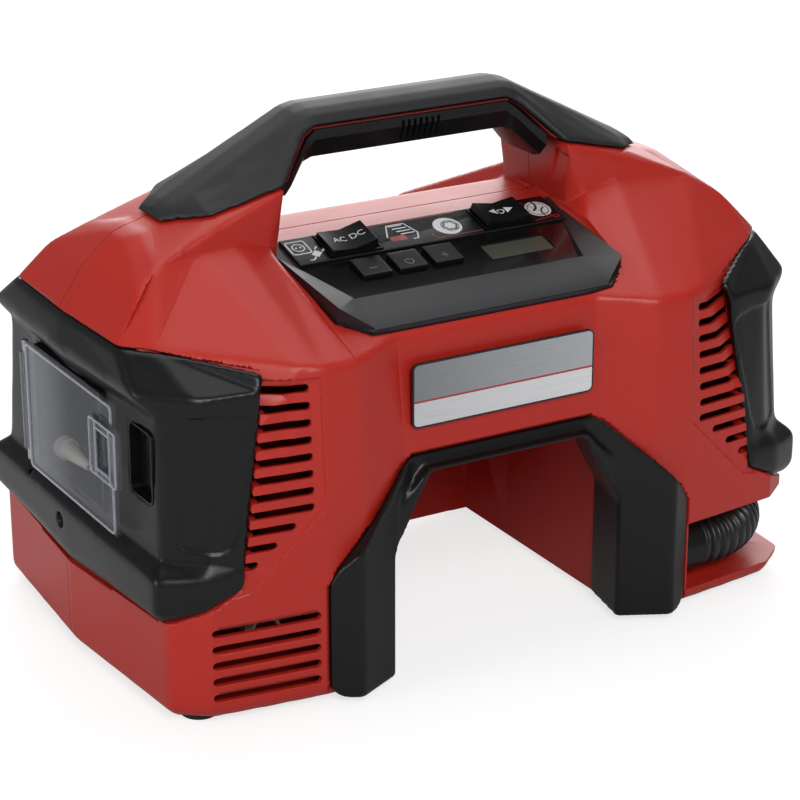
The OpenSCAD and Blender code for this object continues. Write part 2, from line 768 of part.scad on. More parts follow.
module handle_grip() {
    xs = [grip_half - 3, grip_half + 2.4, 74];
    rings = [
        grip_ring(seam_z - 0.9, handle_z - grip_h, grip_w - 0.4, grip_w - 5),
        grip_ring(seam_z - 4.8, handle_z - grip_h - 1.6, grip_w + 0.4, grip_w - 4),
        grip_ring(foot_z + 15.3, foot_z + 2.3, grip_w + 9, grip_w + 3)];
    color("black") lift() difference() {
        section_loft(concat([for (x = back(xs)) -x], xs), mirrored(rings));
        for (i = [-3:2], s = [-1, 1]) translate([3.4 * i + 4, s * (grip_w + 0.4), seam_z - 23.5])
            translate([0, -1.6, 0]) cube([1.6, 3.2, 17]);
    }
}

// ---- control panel ------------------------------------------------------

rocker_x = [-43, 46];
rocker_y = 72.5;
button_x = [-43, -22.5, -2];
button_y = 48.5;
deck_y = 25;

module rocker_hole(x, g) {
    translate([x - rocker_l / 2 - g, rocker_y - rocker_w / 2 - g, -30])
        cube([rocker_l + 2 * g, rocker_w + 2 * g, 60]);
}

module control_panel() {
    color("darkslategray") lift() on_panel() difference() {
        union() {
            translate([0, 0, -3]) linear_extrude(3) panel_plan(0);
            hull_of([[-panel_front + 1, 0.4, 0.4], [panel_front - 1, 0.4, 0.4],
                [-panel_front + 1, 0.4, -0.5], [panel_front - 1, 0.4, -0.5],
                [-panel_front + 4, 10, 2.5], [panel_front - 4, 10, 2.5],
                [-panel_front + 2, deck_y - 1, 3], [panel_front - 2, deck_y - 1, 3],
                [-panel_front + 2, deck_y, -0.5], [panel_front - 2, deck_y, -0.5]]);
            for (m = [0, 1]) mirror([m, 0, 0]) hull_of([
                [panel_front - 2, 1, -0.5], [panel_front - 2, 1, 0.4], [panel_front - 4, 10, 2.5],
                [panel_back - 2.2, 12.8, -0.5], [panel_back - 2.2, 12.8, 7.5],
                [panel_front + 5, deck_y, -0.5], [panel_front + 5, deck_y, 3],
                [panel_back - 0.4, 70, -0.5], [panel_back - 0.4, 70, 0.6],
                [panel_front - 2, deck_y, -0.5], [panel_front - 2, deck_y, 3],
                [panel_back - 3, 70, -0.5]]);
        }
        translate([-77, 60, 0]) cube([156, 30, 10]);
        for (x = rocker_x) rocker_hole(x, 1.4);
        for (x = button_x) translate([x - button_l / 2 - 0.4, button_y - 7.9, -9])
            cube([button_l + 0.8, 15.8, 20]);
        translate([21.7, 38.7, -9]) cube([37.6, 13.6, 20]);
    }
}

module legend_plate() {
    color("black") lift() on_panel() difference() {
        translate([-76, 60.3, 0]) cube([154, 23.6, 1.6]);
        for (x = rocker_x) rocker_hole(x, 1.4);
    }
}

module switch_bodies() {
    color("black") lift() on_panel() for (x = rocker_x) translate([x, rocker_y, 0]) difference() {
        translate([-rocker_l / 2 - 1.1, -rocker_w / 2 - 1.1, -20])
            cube([rocker_l + 2.2, rocker_w + 2.2, 22.2]);
        translate([-rocker_l / 2 - 0.3, -rocker_w / 2 - 0.3, -8])
            cube([rocker_l + 0.6, rocker_w + 0.6, 20]);
        translate([0, -rocker_w / 2 - 2, -2.4]) rotate([-90, 0, 0])
            cylinder(r = 1.45, h = rocker_w + 4);
    }
}

// Rocker with its pivot at the origin, its long side along X.
module rocker() {
    l = rocker_l / 2 - 0.5;
    w = rocker_w / 2;
    translate([0, w, 0]) rotate([90, 0, 0]) linear_extrude(2 * w)
        polygon([[-l, 5.2], [-l * 0.93, 8.4], [0, 6.2], [l * 0.93, 8.4], [l, 5.2],
            [l * 0.8, 1.5], [3, -2.8], [-3, -2.8], [-l * 0.8, 1.5]]);
    translate([0, -w - 1.1, 0]) rotate([-90, 0, 0]) cylinder(r = 1.4, h = 2 * w + 2.2);
}

module ac_dc_rocker() {
    color("black") lift() on_panel() translate([rocker_x[0], rocker_y, -2.4])
        rotate([0, -rocker_tilt, 0]) rocker();
}

module mode_rocker() {
    color("black") lift() on_panel() translate([rocker_x[1], rocker_y, -2.4]) rocker();
}

// Depth a button's stem reaches when it is pressed home.
button_end = -9.4;

module button_at(i) {
    lift() on_panel() translate([button_x[i], button_y, 0]) {
        translate([-button_l / 2, -7.5, -1.8]) cube([button_l, 15, 4.6]);
        translate([-button_l / 2 - 1, -8.2, -4.6]) cube([button_l + 2, 16.4, 1.2]);
        translate([0, 0, button_end + button_travel]) cylinder(r = 2.5, h = 6.5);
        translate([-button_l / 2 + 1, -6.5, -4]) cube([button_l - 2, 13, 3]);
    }
}

module minus_button() {
    color("black") button_at(0);
}

module mode_button() {
    color("black") button_at(1);
}

module plus_button() {
    color("black") button_at(2);
}

module lcd_window() {
    color("lightgray") lift() on_panel() translate([22, 39, -2]) cube([37, 13, 1.6]);
}

module lcd_module() {
    color("darkolivegreen") lift() on_panel() translate([19, 36.5, -7]) cube([43, 18, 3.7]);
}

module control_board() {
    color("darkgreen") lift() on_panel() difference() {
        union() {
            translate([-60, 12, -14.4]) cube([120, 46, 1.6]);
            for (x = button_x) translate([x - 3, button_y - 3, -12.8]) cube([6, 6, 2.8]);
            translate([22, 40, -12.8]) cube([36, 10, 5.8]);
            translate([-58, 18, -12.8]) cube([10, 14, 6]);
        }
        for (x = [-56, 56]) translate([x, 15, -20]) cylinder(r = 1.7, h = 30);
    }
}

// ---- hose and ports -----------------------------------------------------

hose_y = hy - 16.5;
hose_x = hx - 17;
hose_z = groove_floor + groove_h / 2 - 0.5;
hose_r = hx / 2 - 49;
hose_x0 = band_out + 4;
cuff_end = hose_x - hose_r - 5;

module ring_2d(r1, r2) {
    difference() {
        circle(r = r1);
        circle(r = r2);
    }
}

hose_wall = 1.6;
hose_short = 0.6;

// Straight hose along Z, its ribs at n pitches after a plain start, and the
// wall short of a joint by s1 at the start and s2 at the end.
module hose_straight(l, n, plain, s1, s2) {
    p = (l - plain) / n;
    a = hose_id / 2;
    b = hose_od / 2;
    rotate_extrude() polygon(concat([[a - hose_wall, l - s2], [a - hose_wall, s1], [a, s1]],
        [for (i = [1:1:n - 1]) each [[a, plain + p * (i - 0.46)], [b, plain + p * (i - 0.22)],
            [b, plain + p * (i + 0.22)], [a, plain + p * (i + 0.46)]]], [[a, l - s2]]));
}

// Quarter bend of hose round the origin, from the X axis to the Y axis.
module hose_bend(n) {
    p = 90 / n;
    gap = hose_short / hose_r * 57.3;
    rotate([0, 0, gap]) rotate_extrude(angle = 90 - 2 * gap) translate([hose_r, 0])
        ring_2d(hose_id / 2, hose_id / 2 - hose_wall);
    for (i = [1:1:n - 1]) rotate([0, 0, p * (i - 0.25)]) rotate_extrude(angle = p * 0.5)
        translate([hose_r, 0]) ring_2d(hose_od / 2, hose_id / 2 - 0.6);
}

// Rib that closes the joint of two lengths of hose, across the Z axis.
module hose_joint() {
    translate([0, 0, -rib_pitch / 4]) linear_extrude(height = rib_pitch / 2)
        ring_2d(hose_od / 2, hose_id / 2 - hose_wall + 0.4);
}

module corrugated_hose() {
    side = 2 * (hose_y - hose_r);
    front = hose_x - hose_r - hose_x0;
    m = round(hose_r * 1.5708 / rib_pitch);
    color("black") lift() {
        for (s = [-1, 1]) {
            translate([hose_x0, s * hose_y, hose_z]) rotate([0, 90, 0]) {
                hose_straight(front, 1, cuff_end - hose_x0, 0, hose_short);
                translate([0, 0, front]) hose_joint();
            }
            translate([hose_x, s * side / 2, hose_z]) rotate([90, 0, 0]) hose_joint();
        }
        translate([hose_x, side / 2, hose_z]) rotate([90, 0, 0])
            hose_straight(side, round(side / rib_pitch), 0, hose_short, hose_short);
        translate([hose_x - hose_r, hose_y - hose_r, hose_z]) hose_bend(m);
        translate([hose_x - hose_r, hose_r - hose_y, hose_z]) mirror([0, 1, 0]) hose_bend(m);
    }
}

module hose_cuffs() {
    color("dimgray") lift() for (s = [-1, 1]) difference() {
        rod_x(band_out + 3, cuff_end, s * hose_y, hose_z, hose_od / 2 + 0.3);
        rod_x(band_out + 2, cuff_end + 1, s * hose_y, hose_z, hose_id / 2 + 0.05);
    }
}

spigot_r = hose_id / 2 - 1.8;
duct_x = band_out - 9;

// Spigot that holds one cuff of the hose, and the duct behind it up to z.
module port(s, z) {
    rod_x(band_out - 3.5, cuff_end - 3, s * hose_y, hose_z, spigot_r);
    rod_x(band_out - 6, band_out - 3.4, s * hose_y, hose_z, spigot_r);
    rod_x(duct_x, band_out - 3, s * hose_y, hose_z, 7);
    translate([duct_x, s * hose_y, hose_z]) sphere(r = 7);
    translate([duct_x, s * hose_y, hose_z]) cylinder(r = 7, h = z - hose_z);
    translate([duct_x, s * hose_y, z]) sphere(r = 7);
}

module port_bore(s, z) {
    rod_x(duct_x, cuff_end - 1, s * hose_y, hose_z, 5.4);
    translate([duct_x, s * hose_y, hose_z]) sphere(r = 5.4);
    translate([duct_x, s * hose_y, hose_z]) cylinder(r = 5.4, h = z - hose_z);
    translate([duct_x, s * hose_y, z]) sphere(r = 5.4);
}

module inflate_duct() {
    z = 58;
    color("dimgray") lift() difference() {
        union() {
            port(-1, z);
            rod_y(duct_x, -hose_y, fan_y + 2, z, 7);
            translate([duct_x, fan_y + 2, z]) sphere(r = 7);
            translate([duct_x, fan_y + 2, z]) cylinder(r = 7, h = 17);
        }
        port_bore(-1, z);
        rod_y(duct_x, -hose_y, fan_y + 2, z, 5.4);
        translate([duct_x, fan_y + 2, z]) sphere(r = 5.4);
        translate([duct_x, fan_y + 2, z]) cylinder(r = 5.4, h = 30);
        translate([fan_x, fan_y + 30, fan_z]) rotate([90, 0, 0])
            cylinder(r = impeller_r + 6, h = 60);
    }
}

module deflate_duct() {
    color("dimgray") lift() difference() {
        union() {
            port(1, fan_z);
            rod_x(duct_x, fan_x, hose_y, fan_z, 7);
            translate([fan_x, hose_y, fan_z]) sphere(r = 7);
            rod_y(fan_x, fan_y + 17, hose_y, fan_z, 7);
        }
        port_bore(1, fan_z);
        rod_x(duct_x, fan_x, hose_y, fan_z, 5.4);
        translate([fan_x, hose_y, fan_z]) sphere(r = 5.4);
        rod_y(fan_x, fan_y + 16, hose_y, fan_z, 5.4);
    }
}

// ---- blower -------------------------------------------------------------

fan_x = hx - 66;
fan_z = 108;
fan_y = 6;

module blower_housing() {
    r = impeller_r + 4;
    color("gray") lift() difference() {
        union() {
            rod_y(fan_x, fan_y - 13, fan_y + 17, fan_z, r + 2);
            box(fan_x - 12, fan_x + 12, fan_y - 13, fan_y + 17, wall, fan_z - impeller_r);
        }
        rod_y(fan_x, fan_y - 11, fan_y + 15, fan_z, r);
        rod_y(fan_x, fan_y - 14, fan_y - 10, fan_z, 8);
        rod_y(fan_x, fan_y + 14, fan_y + 18, fan_z, 5.4);
        translate([duct_x, fan_y + 2, 60]) cylinder(r = 5.4, h = 30);
        for (x = [-7, 7]) box(fan_x + x - 4, fan_x + x + 4, fan_y - 14, fan_y + 18, 8, 56);
    }
}

module blower_motor() {
    color("silver") lift() difference() {
        union() {
            rod_y(fan_x, fan_y - 68, fan_y - 13.2, fan_z, motor_r);
            rod_y(fan_x, fan_y - 13.2, fan_y - 10.5, fan_z, 6);
        }
        rod_y(fan_x, fan_y - 62, fan_y, fan_z, 2.55);
    }
}

module blower_impeller() {
    color("white") lift() {
        rod_y(fan_x, fan_y - 50, fan_y + 8, fan_z, 2.5);
        rod_y(fan_x, fan_y - 8, fan_y + 8, fan_z, 7);
        rod_y(fan_x, fan_y - 8, fan_y - 6, fan_z, impeller_r);
        for (i = [0:blade_n - 1]) translate([fan_x, fan_y, fan_z]) rotate([0, i * 360 / blade_n, 0])
            translate([6, -7, -0.8]) cube([impeller_r - 7, 17, 1.6]);
    }
}

// ---- pump ---------------------------------------------------------------

pump_x = -(hx - 73);
crank_z = 64;
pump_y = 22;
mesh_d = gear_m * (gear_n + pinion_n) / 2;
shaft_r = 2.5;
rod_l = 44;

module pump_frame() {
    z0 = crank_z - mesh_d;
    color("silver") lift() difference() {
        union() {
            box(pump_x - 26, pump_x + 26, -4, 2, wall, 40);
            box(pump_x - 31, pump_x + 31, -4, 2, 40, crank_z + 46);
            box(pump_x - 31, pump_x + 31, -4, 42, 96, 100);
            for (s = [-1, 1]) box(pump_x + s * 29.5 - 1.5, pump_x + s * 29.5 + 1.5,
                -4, 42, 40, 100);
        }
        rod_y(pump_x, -5, 3, z0, 8);
        rod_y(pump_x, -5, 3, crank_z, 7);
        translate([pump_x, pump_y, 90]) cylinder(r = piston_r + 2.5, h = 20);
    }
}

module pump_motor() {
    z0 = crank_z - mesh_d;
    color("silver") lift() difference() {
        union() {
            rod_y(pump_x, -4.2 - motor_l, -4.2, z0, motor_r);
            rod_y(pump_x, -4.3, -1, z0, 6);
        }
        rod_y(pump_x, -10 - motor_l, 2, z0, shaft_r + 0.05);
    }
}

// Straight-sided teeth around a gear's rim.
module gear(r, n, h) {
    cylinder(r = r - gear_m * 1.2, h = h);
    for (i = [0:n - 1]) rotate([0, 0, i * 360 / n]) translate([r - gear_m * 1.5, 0, 0])
        linear_extrude(h) polygon([[0, -gear_m * 0.95], [gear_m * 2.2, -gear_m * 0.3],
            [gear_m * 2.2, gear_m * 0.3], [0, gear_m * 0.95]]);
}

module motor_pinion() {
    z0 = crank_z - mesh_d;
    color("silver") lift() {
        rod_y(pump_x, -12.5 - motor_l, 12, z0, shaft_r);
        translate([pump_x, 11, z0]) rotate([90, 0, 0]) rotate([0, 0, 180 / pinion_n])
            gear(gear_m * pinion_n / 2, pinion_n, 7);
    }
}

module motor_fan() {
    z0 = crank_z - mesh_d;
    color("white") lift() difference() {
        union() {
            rod_y(pump_x, -12 - motor_l, -6 - motor_l, z0, 5);
            for (i = [0:5]) translate([pump_x, -9 - motor_l, z0]) rotate([0, i * 60, 0])
                translate([3, -3, -0.7]) cube([motor_r - 4, 6, 1.4]);
        }
        rod_y(pump_x, -30 - motor_l, 0, z0, shaft_r);
    }
}

module crank_gear() {
    color("silver") lift() translate([pump_x, 11, crank_z]) rotate([90, 0, 0]) {
        gear(gear_m * gear_n / 2, gear_n, 7);
        translate([0, 0, -1]) cylinder(r = 11, h = 2);
        cylinder(r = 4, h = 15);
        translate([0, throw_r, -16]) cylinder(r = crankpin_r, h = 17);
    }
}

module crank_bush() {
    color("goldenrod") lift() difference() {
        rod_y(pump_x, -4, 2.5, crank_z, 7);
        rod_y(pump_x, -5, 4, crank_z, 4.05);
    }
}

module connecting_rod() {
    z1 = crank_z + throw_r;
    color("ivory") lift() difference() {
        union() {
            rod_y(pump_x, pump_y - 4, pump_y + 4, z1, crankpin_r + 3);
            rod_y(pump_x, pump_y - 4, pump_y + 4, z1 + rod_l, 4.6);
            box(pump_x - 2.6, pump_x + 2.6, pump_y - 2.5, pump_y + 2.5, z1 + 4, z1 + rod_l - 3);
        }
        rod_y(pump_x, pump_y - 6, pump_y + 6, z1, crankpin_r + 0.05);
        rod_y(pump_x, pump_y - 6, pump_y + 6, z1 + rod_l, 2);
    }
}

module wrist_pin() {
    color("silver") lift()
        rod_y(pump_x, pump_y - 7.5, pump_y + 7.5, crank_z + throw_r + rod_l, 2);
}

piston_top = crank_z + throw_r + rod_l + 21;

module piston() {
    color("dimgray") lift() translate([pump_x, pump_y, piston_top - 22]) difference() {
        cylinder(r = piston_r, h = 22);
        translate([0, 0, -1]) cylinder(r = piston_r - 2.6, h = 20);
    }
}

module pump_cylinder() {
    color("silver") lift() translate([pump_x, pump_y, 0]) difference() {
        union() {
            translate([0, 0, 92]) cylinder(r = piston_r + 2.4, h = piston_top + 1 - 92);
            translate([0, 0, 100]) cylinder(r = piston_r + 4.5, h = 3);
            for (z = [108:5:piston_top - 4])
                translate([0, 0, z]) cylinder(r = piston_r + 4.5, h = 1.4);
        }
        translate([0, 0, 90]) cylinder(r = piston_r + 0.05, h = 80);
    }
}

module pump_head() {
    z = piston_top + 1;
    color("silver") lift() translate([pump_x, pump_y, 0]) difference() {
        union() {
            translate([0, 0, z]) cylinder(r = piston_r + 5, h = 9);
            for (i = [-2:2]) translate([5 * i - 0.8, -12, z + 8.9]) cube([1.6, 24, 4]);
        }
        translate([0, 0, z - 1]) cylinder(r = piston_r - 5, h = 6);
        translate([-30, 0, z + 4.5]) rotate([0, 90, 0]) cylinder(r = 3, h = 18);
        translate([-13, 0, z + 4.5]) rotate([0, 90, 0]) cylinder(r = 1.8, h = 8);
    }
}

module pipe_run(r, e) {
    z = piston_top + 5.5;
    x = tray_x + tray_depth + 14;
    rod_x(x, pump_x - 12.5 + e, pump_y, z, r);
    translate([x, pump_y, z]) sphere(r = r);
    rod_y(x, outlet_y, pump_y, z, r);
    translate([x, outlet_y, z]) sphere(r = r);
    translate([x, outlet_y, outlet_z]) cylinder(r = r, h = z - outlet_z);
    translate([x, outlet_y, outlet_z]) sphere(r = r);
    rod_x(x - 4.9 - e, x, outlet_y, outlet_z, r);
}

module air_pipe() {
    color("black") lift() difference() {
        pipe_run(2.8, 0);
        pipe_run(1.6, 1);
    }
}

// ---- power --------------------------------------------------------------

module board_spots() {
    for (x = [-26, 26], y = [-70, 10]) translate([x, y, 0]) children();
}

board_z = tunnel_h + wall + 8;

module power_board() {
    color("darkgreen") lift() difference() {
        union() {
            box(-31, 31, -76, 16, board_z, board_z + 1.6);
            box(-20, 12, -60, -26, board_z + 1.6, board_z + 28);
            for (x = [-10, 8]) translate([x, -8, board_z + 1.6]) cylinder(r = 7, h = 24);
            box(17, 22, -62, -30, board_z + 1.6, board_z + 22);
        }
        board_spots() cylinder(r = 1.7, h = 300);
    }
}

module board_standoffs() {
    color("gray") lift() board_spots() difference() {
        translate([0, 0, tunnel_h + wall]) cylinder(r = 4, h = 8);
        translate([0, 0, tunnel_h + wall + 1]) cylinder(r = 1.3, h = 20);
    }
}

module battery_rails() {
    color("black") lift() for (s = [-1, 1]) difference() {
        box(s > 0 ? 20 : -34, s > 0 ? 34 : -20, bay_y, bay_y + 12, 30, 120);
        box(s > 0 ? 19 : -28, s > 0 ? 28 : -19, bay_y + 3, bay_y + 8, 29, 112);
    }
}

module terminal_block() {
    color("darkslategray") lift() {
        box(-19, 19, bay_y, bay_y + 9, 112.5, 124);
        for (x = [-14, -5, 5, 14])
            box(x - 0.6, x + 0.6, bay_y + 1, bay_y + 7.5, 92, 113);
    }
}

inlet_x = -(hx - 91);
gland_z = 28;
socket_z = 50;

module mains_gland() {
    color("black") lift() difference() {
        union() {
            rod_y(inlet_x, hy - 13.5, hy - 0.6, gland_z, 5);
            rod_y(inlet_x, hy - 2, hy - 0.6, gland_z, 7.5);
            rod_y(inlet_x, hy - 12.5, hy - 6, gland_z, 7.5);
        }
        rod_y(inlet_x, 100, hy + 3, gland_z, 3);
    }
}

module dc_socket() {
    color("black") lift() difference() {
        union() {
            rod_y(inlet_x, hy - 19.5, hy - 0.6, socket_z, 4);
            rod_y(inlet_x, hy - 2, hy - 0.6, socket_z, 6);
            rod_y(inlet_x, hy - 19.5, hy - 6, socket_z, 6);
        }
        rod_y(inlet_x, hy - 15.5, hy + 2, socket_z, 2.8);
    }
}

front_housing();
rear_housing();
front_arch_trim();
left_end_frame();
right_end_frame();
accessory_tray();
accessory_door();
door_hinge_pin();
pressure_outlet();
ball_needle();
cone_nozzle();
handle_cover();
handle_core();
handle_grip();
control_panel();
legend_plate();
badge_plate();
switch_bodies();
ac_dc_rocker();
mode_rocker();
minus_button();
mode_button();
plus_button();
lcd_window();
lcd_module();
control_board();
corrugated_hose();
hose_cuffs();
inflate_duct();
deflate_duct();
blower_housing();
blower_motor();
blower_impeller();
pump_frame();
pump_motor();
motor_pinion();
motor_fan();
crank_gear();
crank_bush();
connecting_rod();
wrist_pin();
piston();
pump_cylinder();
pump_head();
air_pipe();
power_board();
board_standoffs();
battery_rails();
terminal_block();
mains_gland();
dc_socket();
housing_screws();
frame_screws();
rubber_feet();
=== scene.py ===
"""Visual model of a portable inflator with a carry handle, in two red shells.

Lengths in the classes are in millimetres, in the frame of the source before its
lift; place() turns them into the model's metres.
"""

import logging
import math
from collections.abc import Callable
from dataclasses import dataclass, field
from enum import Enum

import bmesh
import bpy
from mathutils import Matrix, Vector
from mathutils.bvhtree import BVHTree


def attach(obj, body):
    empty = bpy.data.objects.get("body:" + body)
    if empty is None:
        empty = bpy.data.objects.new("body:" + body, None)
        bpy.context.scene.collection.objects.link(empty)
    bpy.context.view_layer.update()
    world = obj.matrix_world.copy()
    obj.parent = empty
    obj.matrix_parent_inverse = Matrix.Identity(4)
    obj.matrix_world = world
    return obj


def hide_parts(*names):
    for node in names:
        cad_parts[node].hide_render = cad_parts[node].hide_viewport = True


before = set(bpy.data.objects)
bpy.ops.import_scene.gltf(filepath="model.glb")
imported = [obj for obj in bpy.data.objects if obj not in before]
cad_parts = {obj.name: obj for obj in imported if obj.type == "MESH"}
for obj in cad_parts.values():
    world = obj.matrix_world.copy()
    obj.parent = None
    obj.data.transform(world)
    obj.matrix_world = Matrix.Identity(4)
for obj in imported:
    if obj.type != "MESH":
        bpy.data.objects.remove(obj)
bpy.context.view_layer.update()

MM = 0.001
LIFT = Vector((0.0, 4.0, 3.5))
# Points this close are one, in metres: of a new mesh, and of a CAD node's triangles.
WELD = 1e-7
NODE_WELD = 2e-6
# Triangles that meet at less than this many degrees make one flat face.
FLAT_ANGLE = 0.6
LOG = logging.getLogger("inflator")

Point = tuple[float, float, float]
Spot = tuple[float, float]
Span = tuple[float, float]
# Left, low, right, high and corner radius of a round-cornered rectangle.
Box = tuple[float, float, float, float, float]
Colour = tuple[float, float, float, float]
Ring = list[Point]
Flat = list[Spot]


class Slot(Enum):
    """The record's material slots, by their names."""

    RED = "red_plastic"
    BLACK = "black_plastic"
    GREY = "grey_plastic"
    WHITE = "white_plastic"
    GLOSS = "gloss_black"
    BADGE = "badge"
    CLEAR = "clear_plastic"
    RUBBER = "soft_rubber"
    HOSE = "hose_plastic"
    STEEL = "steel"
    DISPLAY = "display"


# ---- nodes and materials -------------------------------------------------


def linear(code: str) -> Colour:
    """Turns an sRGB hex colour into linear RGBA.

    Args:
        code: Six hex digits after a hash.

    Returns:
        The four linear channels.
    """
    channels = [int(code[i : i + 2], 16) / 255.0 for i in (1, 3, 5)]
    flat = [c / 12.92 if c <= 0.04045 else ((c + 0.055) / 1.055) ** 2.4 for c in channels]
    return (flat[0], flat[1], flat[2], 1.0)


def scaled(colour: Colour, factor: float) -> Colour:
    """Makes a linear colour darker or lighter, each channel at most full."""
    red, green, blue = (min(1.0, channel * factor) for channel in colour[:3])
    return (red, green, blue, 1.0)


def add(tree: bpy.types.NodeTree, kind: str, settings: dict | None = None,
        inputs: dict | None = None) -> bpy.types.Node:
    """Adds a node with its settings and links.

    Args:
        tree: The shader or geometry tree.
        kind: The node's type name.
        settings: Values for the node's own properties.
        inputs: Values or output sockets for its input sockets, by name or number.

    Returns:
        The new node.
    """
    node = tree.nodes.new(kind)
    for key, value in (settings or {}).items():
        setattr(node, key, value)
    for key, value in (inputs or {}).items():
        if isinstance(value, bpy.types.NodeSocket):
            tree.links.new(value, node.inputs[key])
        else:
            node.inputs[key].default_value = value
    return node


def new_material(name: str) -> tuple[
        bpy.types.Material, bpy.types.NodeTree, bpy.types.Node]:
    """Starts a material with one Principled shader.

    Args:
        name: The real material's name.

    Returns:
        The material, its tree and its shader node.
    """
    material = bpy.data.materials.new(name)
    material.use_nodes = True
    tree = material.node_tree
    return material, tree, tree.nodes["Principled BSDF"]


@dataclass(frozen=True)
class Moulded:
    """A moulded plastic or rubber with a fine spark-eroded grain.

    The grain of such a mould is 0.05 to 0.2 mm, and is drawn at grain_mm so that
    it shows, with a height of depth grains. The colour drifts slightly over
    drift_mm, as pigment does in a large moulding, and the gloss with it, by the
    factors of gloss. The grain's specks change the colour by the factors of specks.
    """

    name: str
    colour: str
    roughness: float
    grain_mm: float = 0.9
    relief: float = 0.12
    drift_mm: float = 45.0
    drift: float = 0.05
    specular: float = 0.5
    coat: float = 0.0
    coat_roughness: float = 0.08
    ior: float = 1.5
    specks: Span = (0.94, 1.06)
    gloss: Span = (0.93, 1.07)
    depth: float = 0.35

    def material(self) -> bpy.types.Material:
        """Builds the material.

        Returns:
            The material.
        """
        material, tree, shader = new_material(self.name)
        where = add(tree, "ShaderNodeTexCoord").outputs["Object"]
        drift = add(tree, "ShaderNodeTexNoise", None, {
            "Vector": where, "Scale": 1.0 / (self.drift_mm * MM), "Detail": 3.0})
        specks = add(tree, "ShaderNodeTexNoise", None, {
            "Vector": where, "Scale": 1.0 / (self.grain_mm * MM), "Detail": 2.0})
        base = linear(self.colour)
        tint = add(tree, "ShaderNodeMix", {"data_type": "RGBA"}, {
            "Factor": drift.outputs["Fac"], 6: scaled(base, 1.0 - self.drift),
            7: scaled(base, 1.0 + self.drift)})
        dusty = add(tree, "ShaderNodeMapRange", None, {
            "Value": specks.outputs["Fac"], "From Min": 0.35, "From Max": 0.7,
            "To Min": self.specks[0], "To Max": self.specks[1]})
        colour = add(tree, "ShaderNodeVectorMath", {"operation": "SCALE"}, {
            0: tint.outputs[2], "Scale": dusty.outputs["Result"]})
        tree.links.new(colour.outputs["Vector"], shader.inputs["Base Color"])
        gloss = add(tree, "ShaderNodeMapRange", None, {
            "Value": drift.outputs["Fac"], "From Min": 0.3, "From Max": 0.7,
            "To Min": self.roughness * self.gloss[0],
            "To Max": self.roughness * self.gloss[1]})
        tree.links.new(gloss.outputs["Result"], shader.inputs["Roughness"])
        bump = add(tree, "ShaderNodeBump", None, {
            "Height": specks.outputs["Fac"], "Strength": self.relief,
            "Distance": self.grain_mm * MM * self.depth})
        tree.links.new(bump.outputs["Normal"], shader.inputs["Normal"])
        shader.inputs["IOR"].default_value = self.ior
        shader.inputs["Specular IOR Level"].default_value = self.specular
        shader.inputs["Coat Weight"].default_value = self.coat
        shader.inputs["Coat Roughness"].default_value = self.coat_roughness
        return material


@dataclass(frozen=True)
class Metal:
    """A turned, plated or cast metal with fine tool marks.

    The marks darken the colour down to the factor dark, and change the roughness
    by the factors of gloss.
    """

    name: str
    colour: str
    roughness: float
    mark_mm: float = 0.6
    mark_depth_mm: float = 0.05
    relief: float = 0.08
    dark: float = 0.82
    gloss: Span = (0.8, 1.2)

    def material(self) -> bpy.types.Material:
        """Builds the material.

        Returns:
            The material.
        """
        material, tree, shader = new_material(self.name)
        where = add(tree, "ShaderNodeTexCoord").outputs["Object"]
        marks = add(tree, "ShaderNodeTexNoise", None, {
            "Vector": where, "Scale": 1.0 / (self.mark_mm * MM), "Detail": 4.0})
        base = linear(self.colour)
        tint = add(tree, "ShaderNodeMix", {"data_type": "RGBA"}, {
            "Factor": marks.outputs["Fac"], 6: scaled(base, self.dark), 7: base})
        tree.links.new(tint.outputs[2], shader.inputs["Base Color"])
        gloss = add(tree, "ShaderNodeMapRange", None, {
            "Value": marks.outputs["Fac"], "To Min": self.roughness * self.gloss[0],
            "To Max": self.roughness * self.gloss[1]})
        tree.links.new(gloss.outputs["Result"], shader.inputs["Roughness"])
        bump = add(tree, "ShaderNodeBump", None, {
            "Height": marks.outputs["Fac"], "Strength": self.relief,
            "Distance": self.mark_depth_mm * MM})
        tree.links.new(bump.outputs["Normal"], shader.inputs["Normal"])
        shader.inputs["Metallic"].default_value = 1.0
        return material


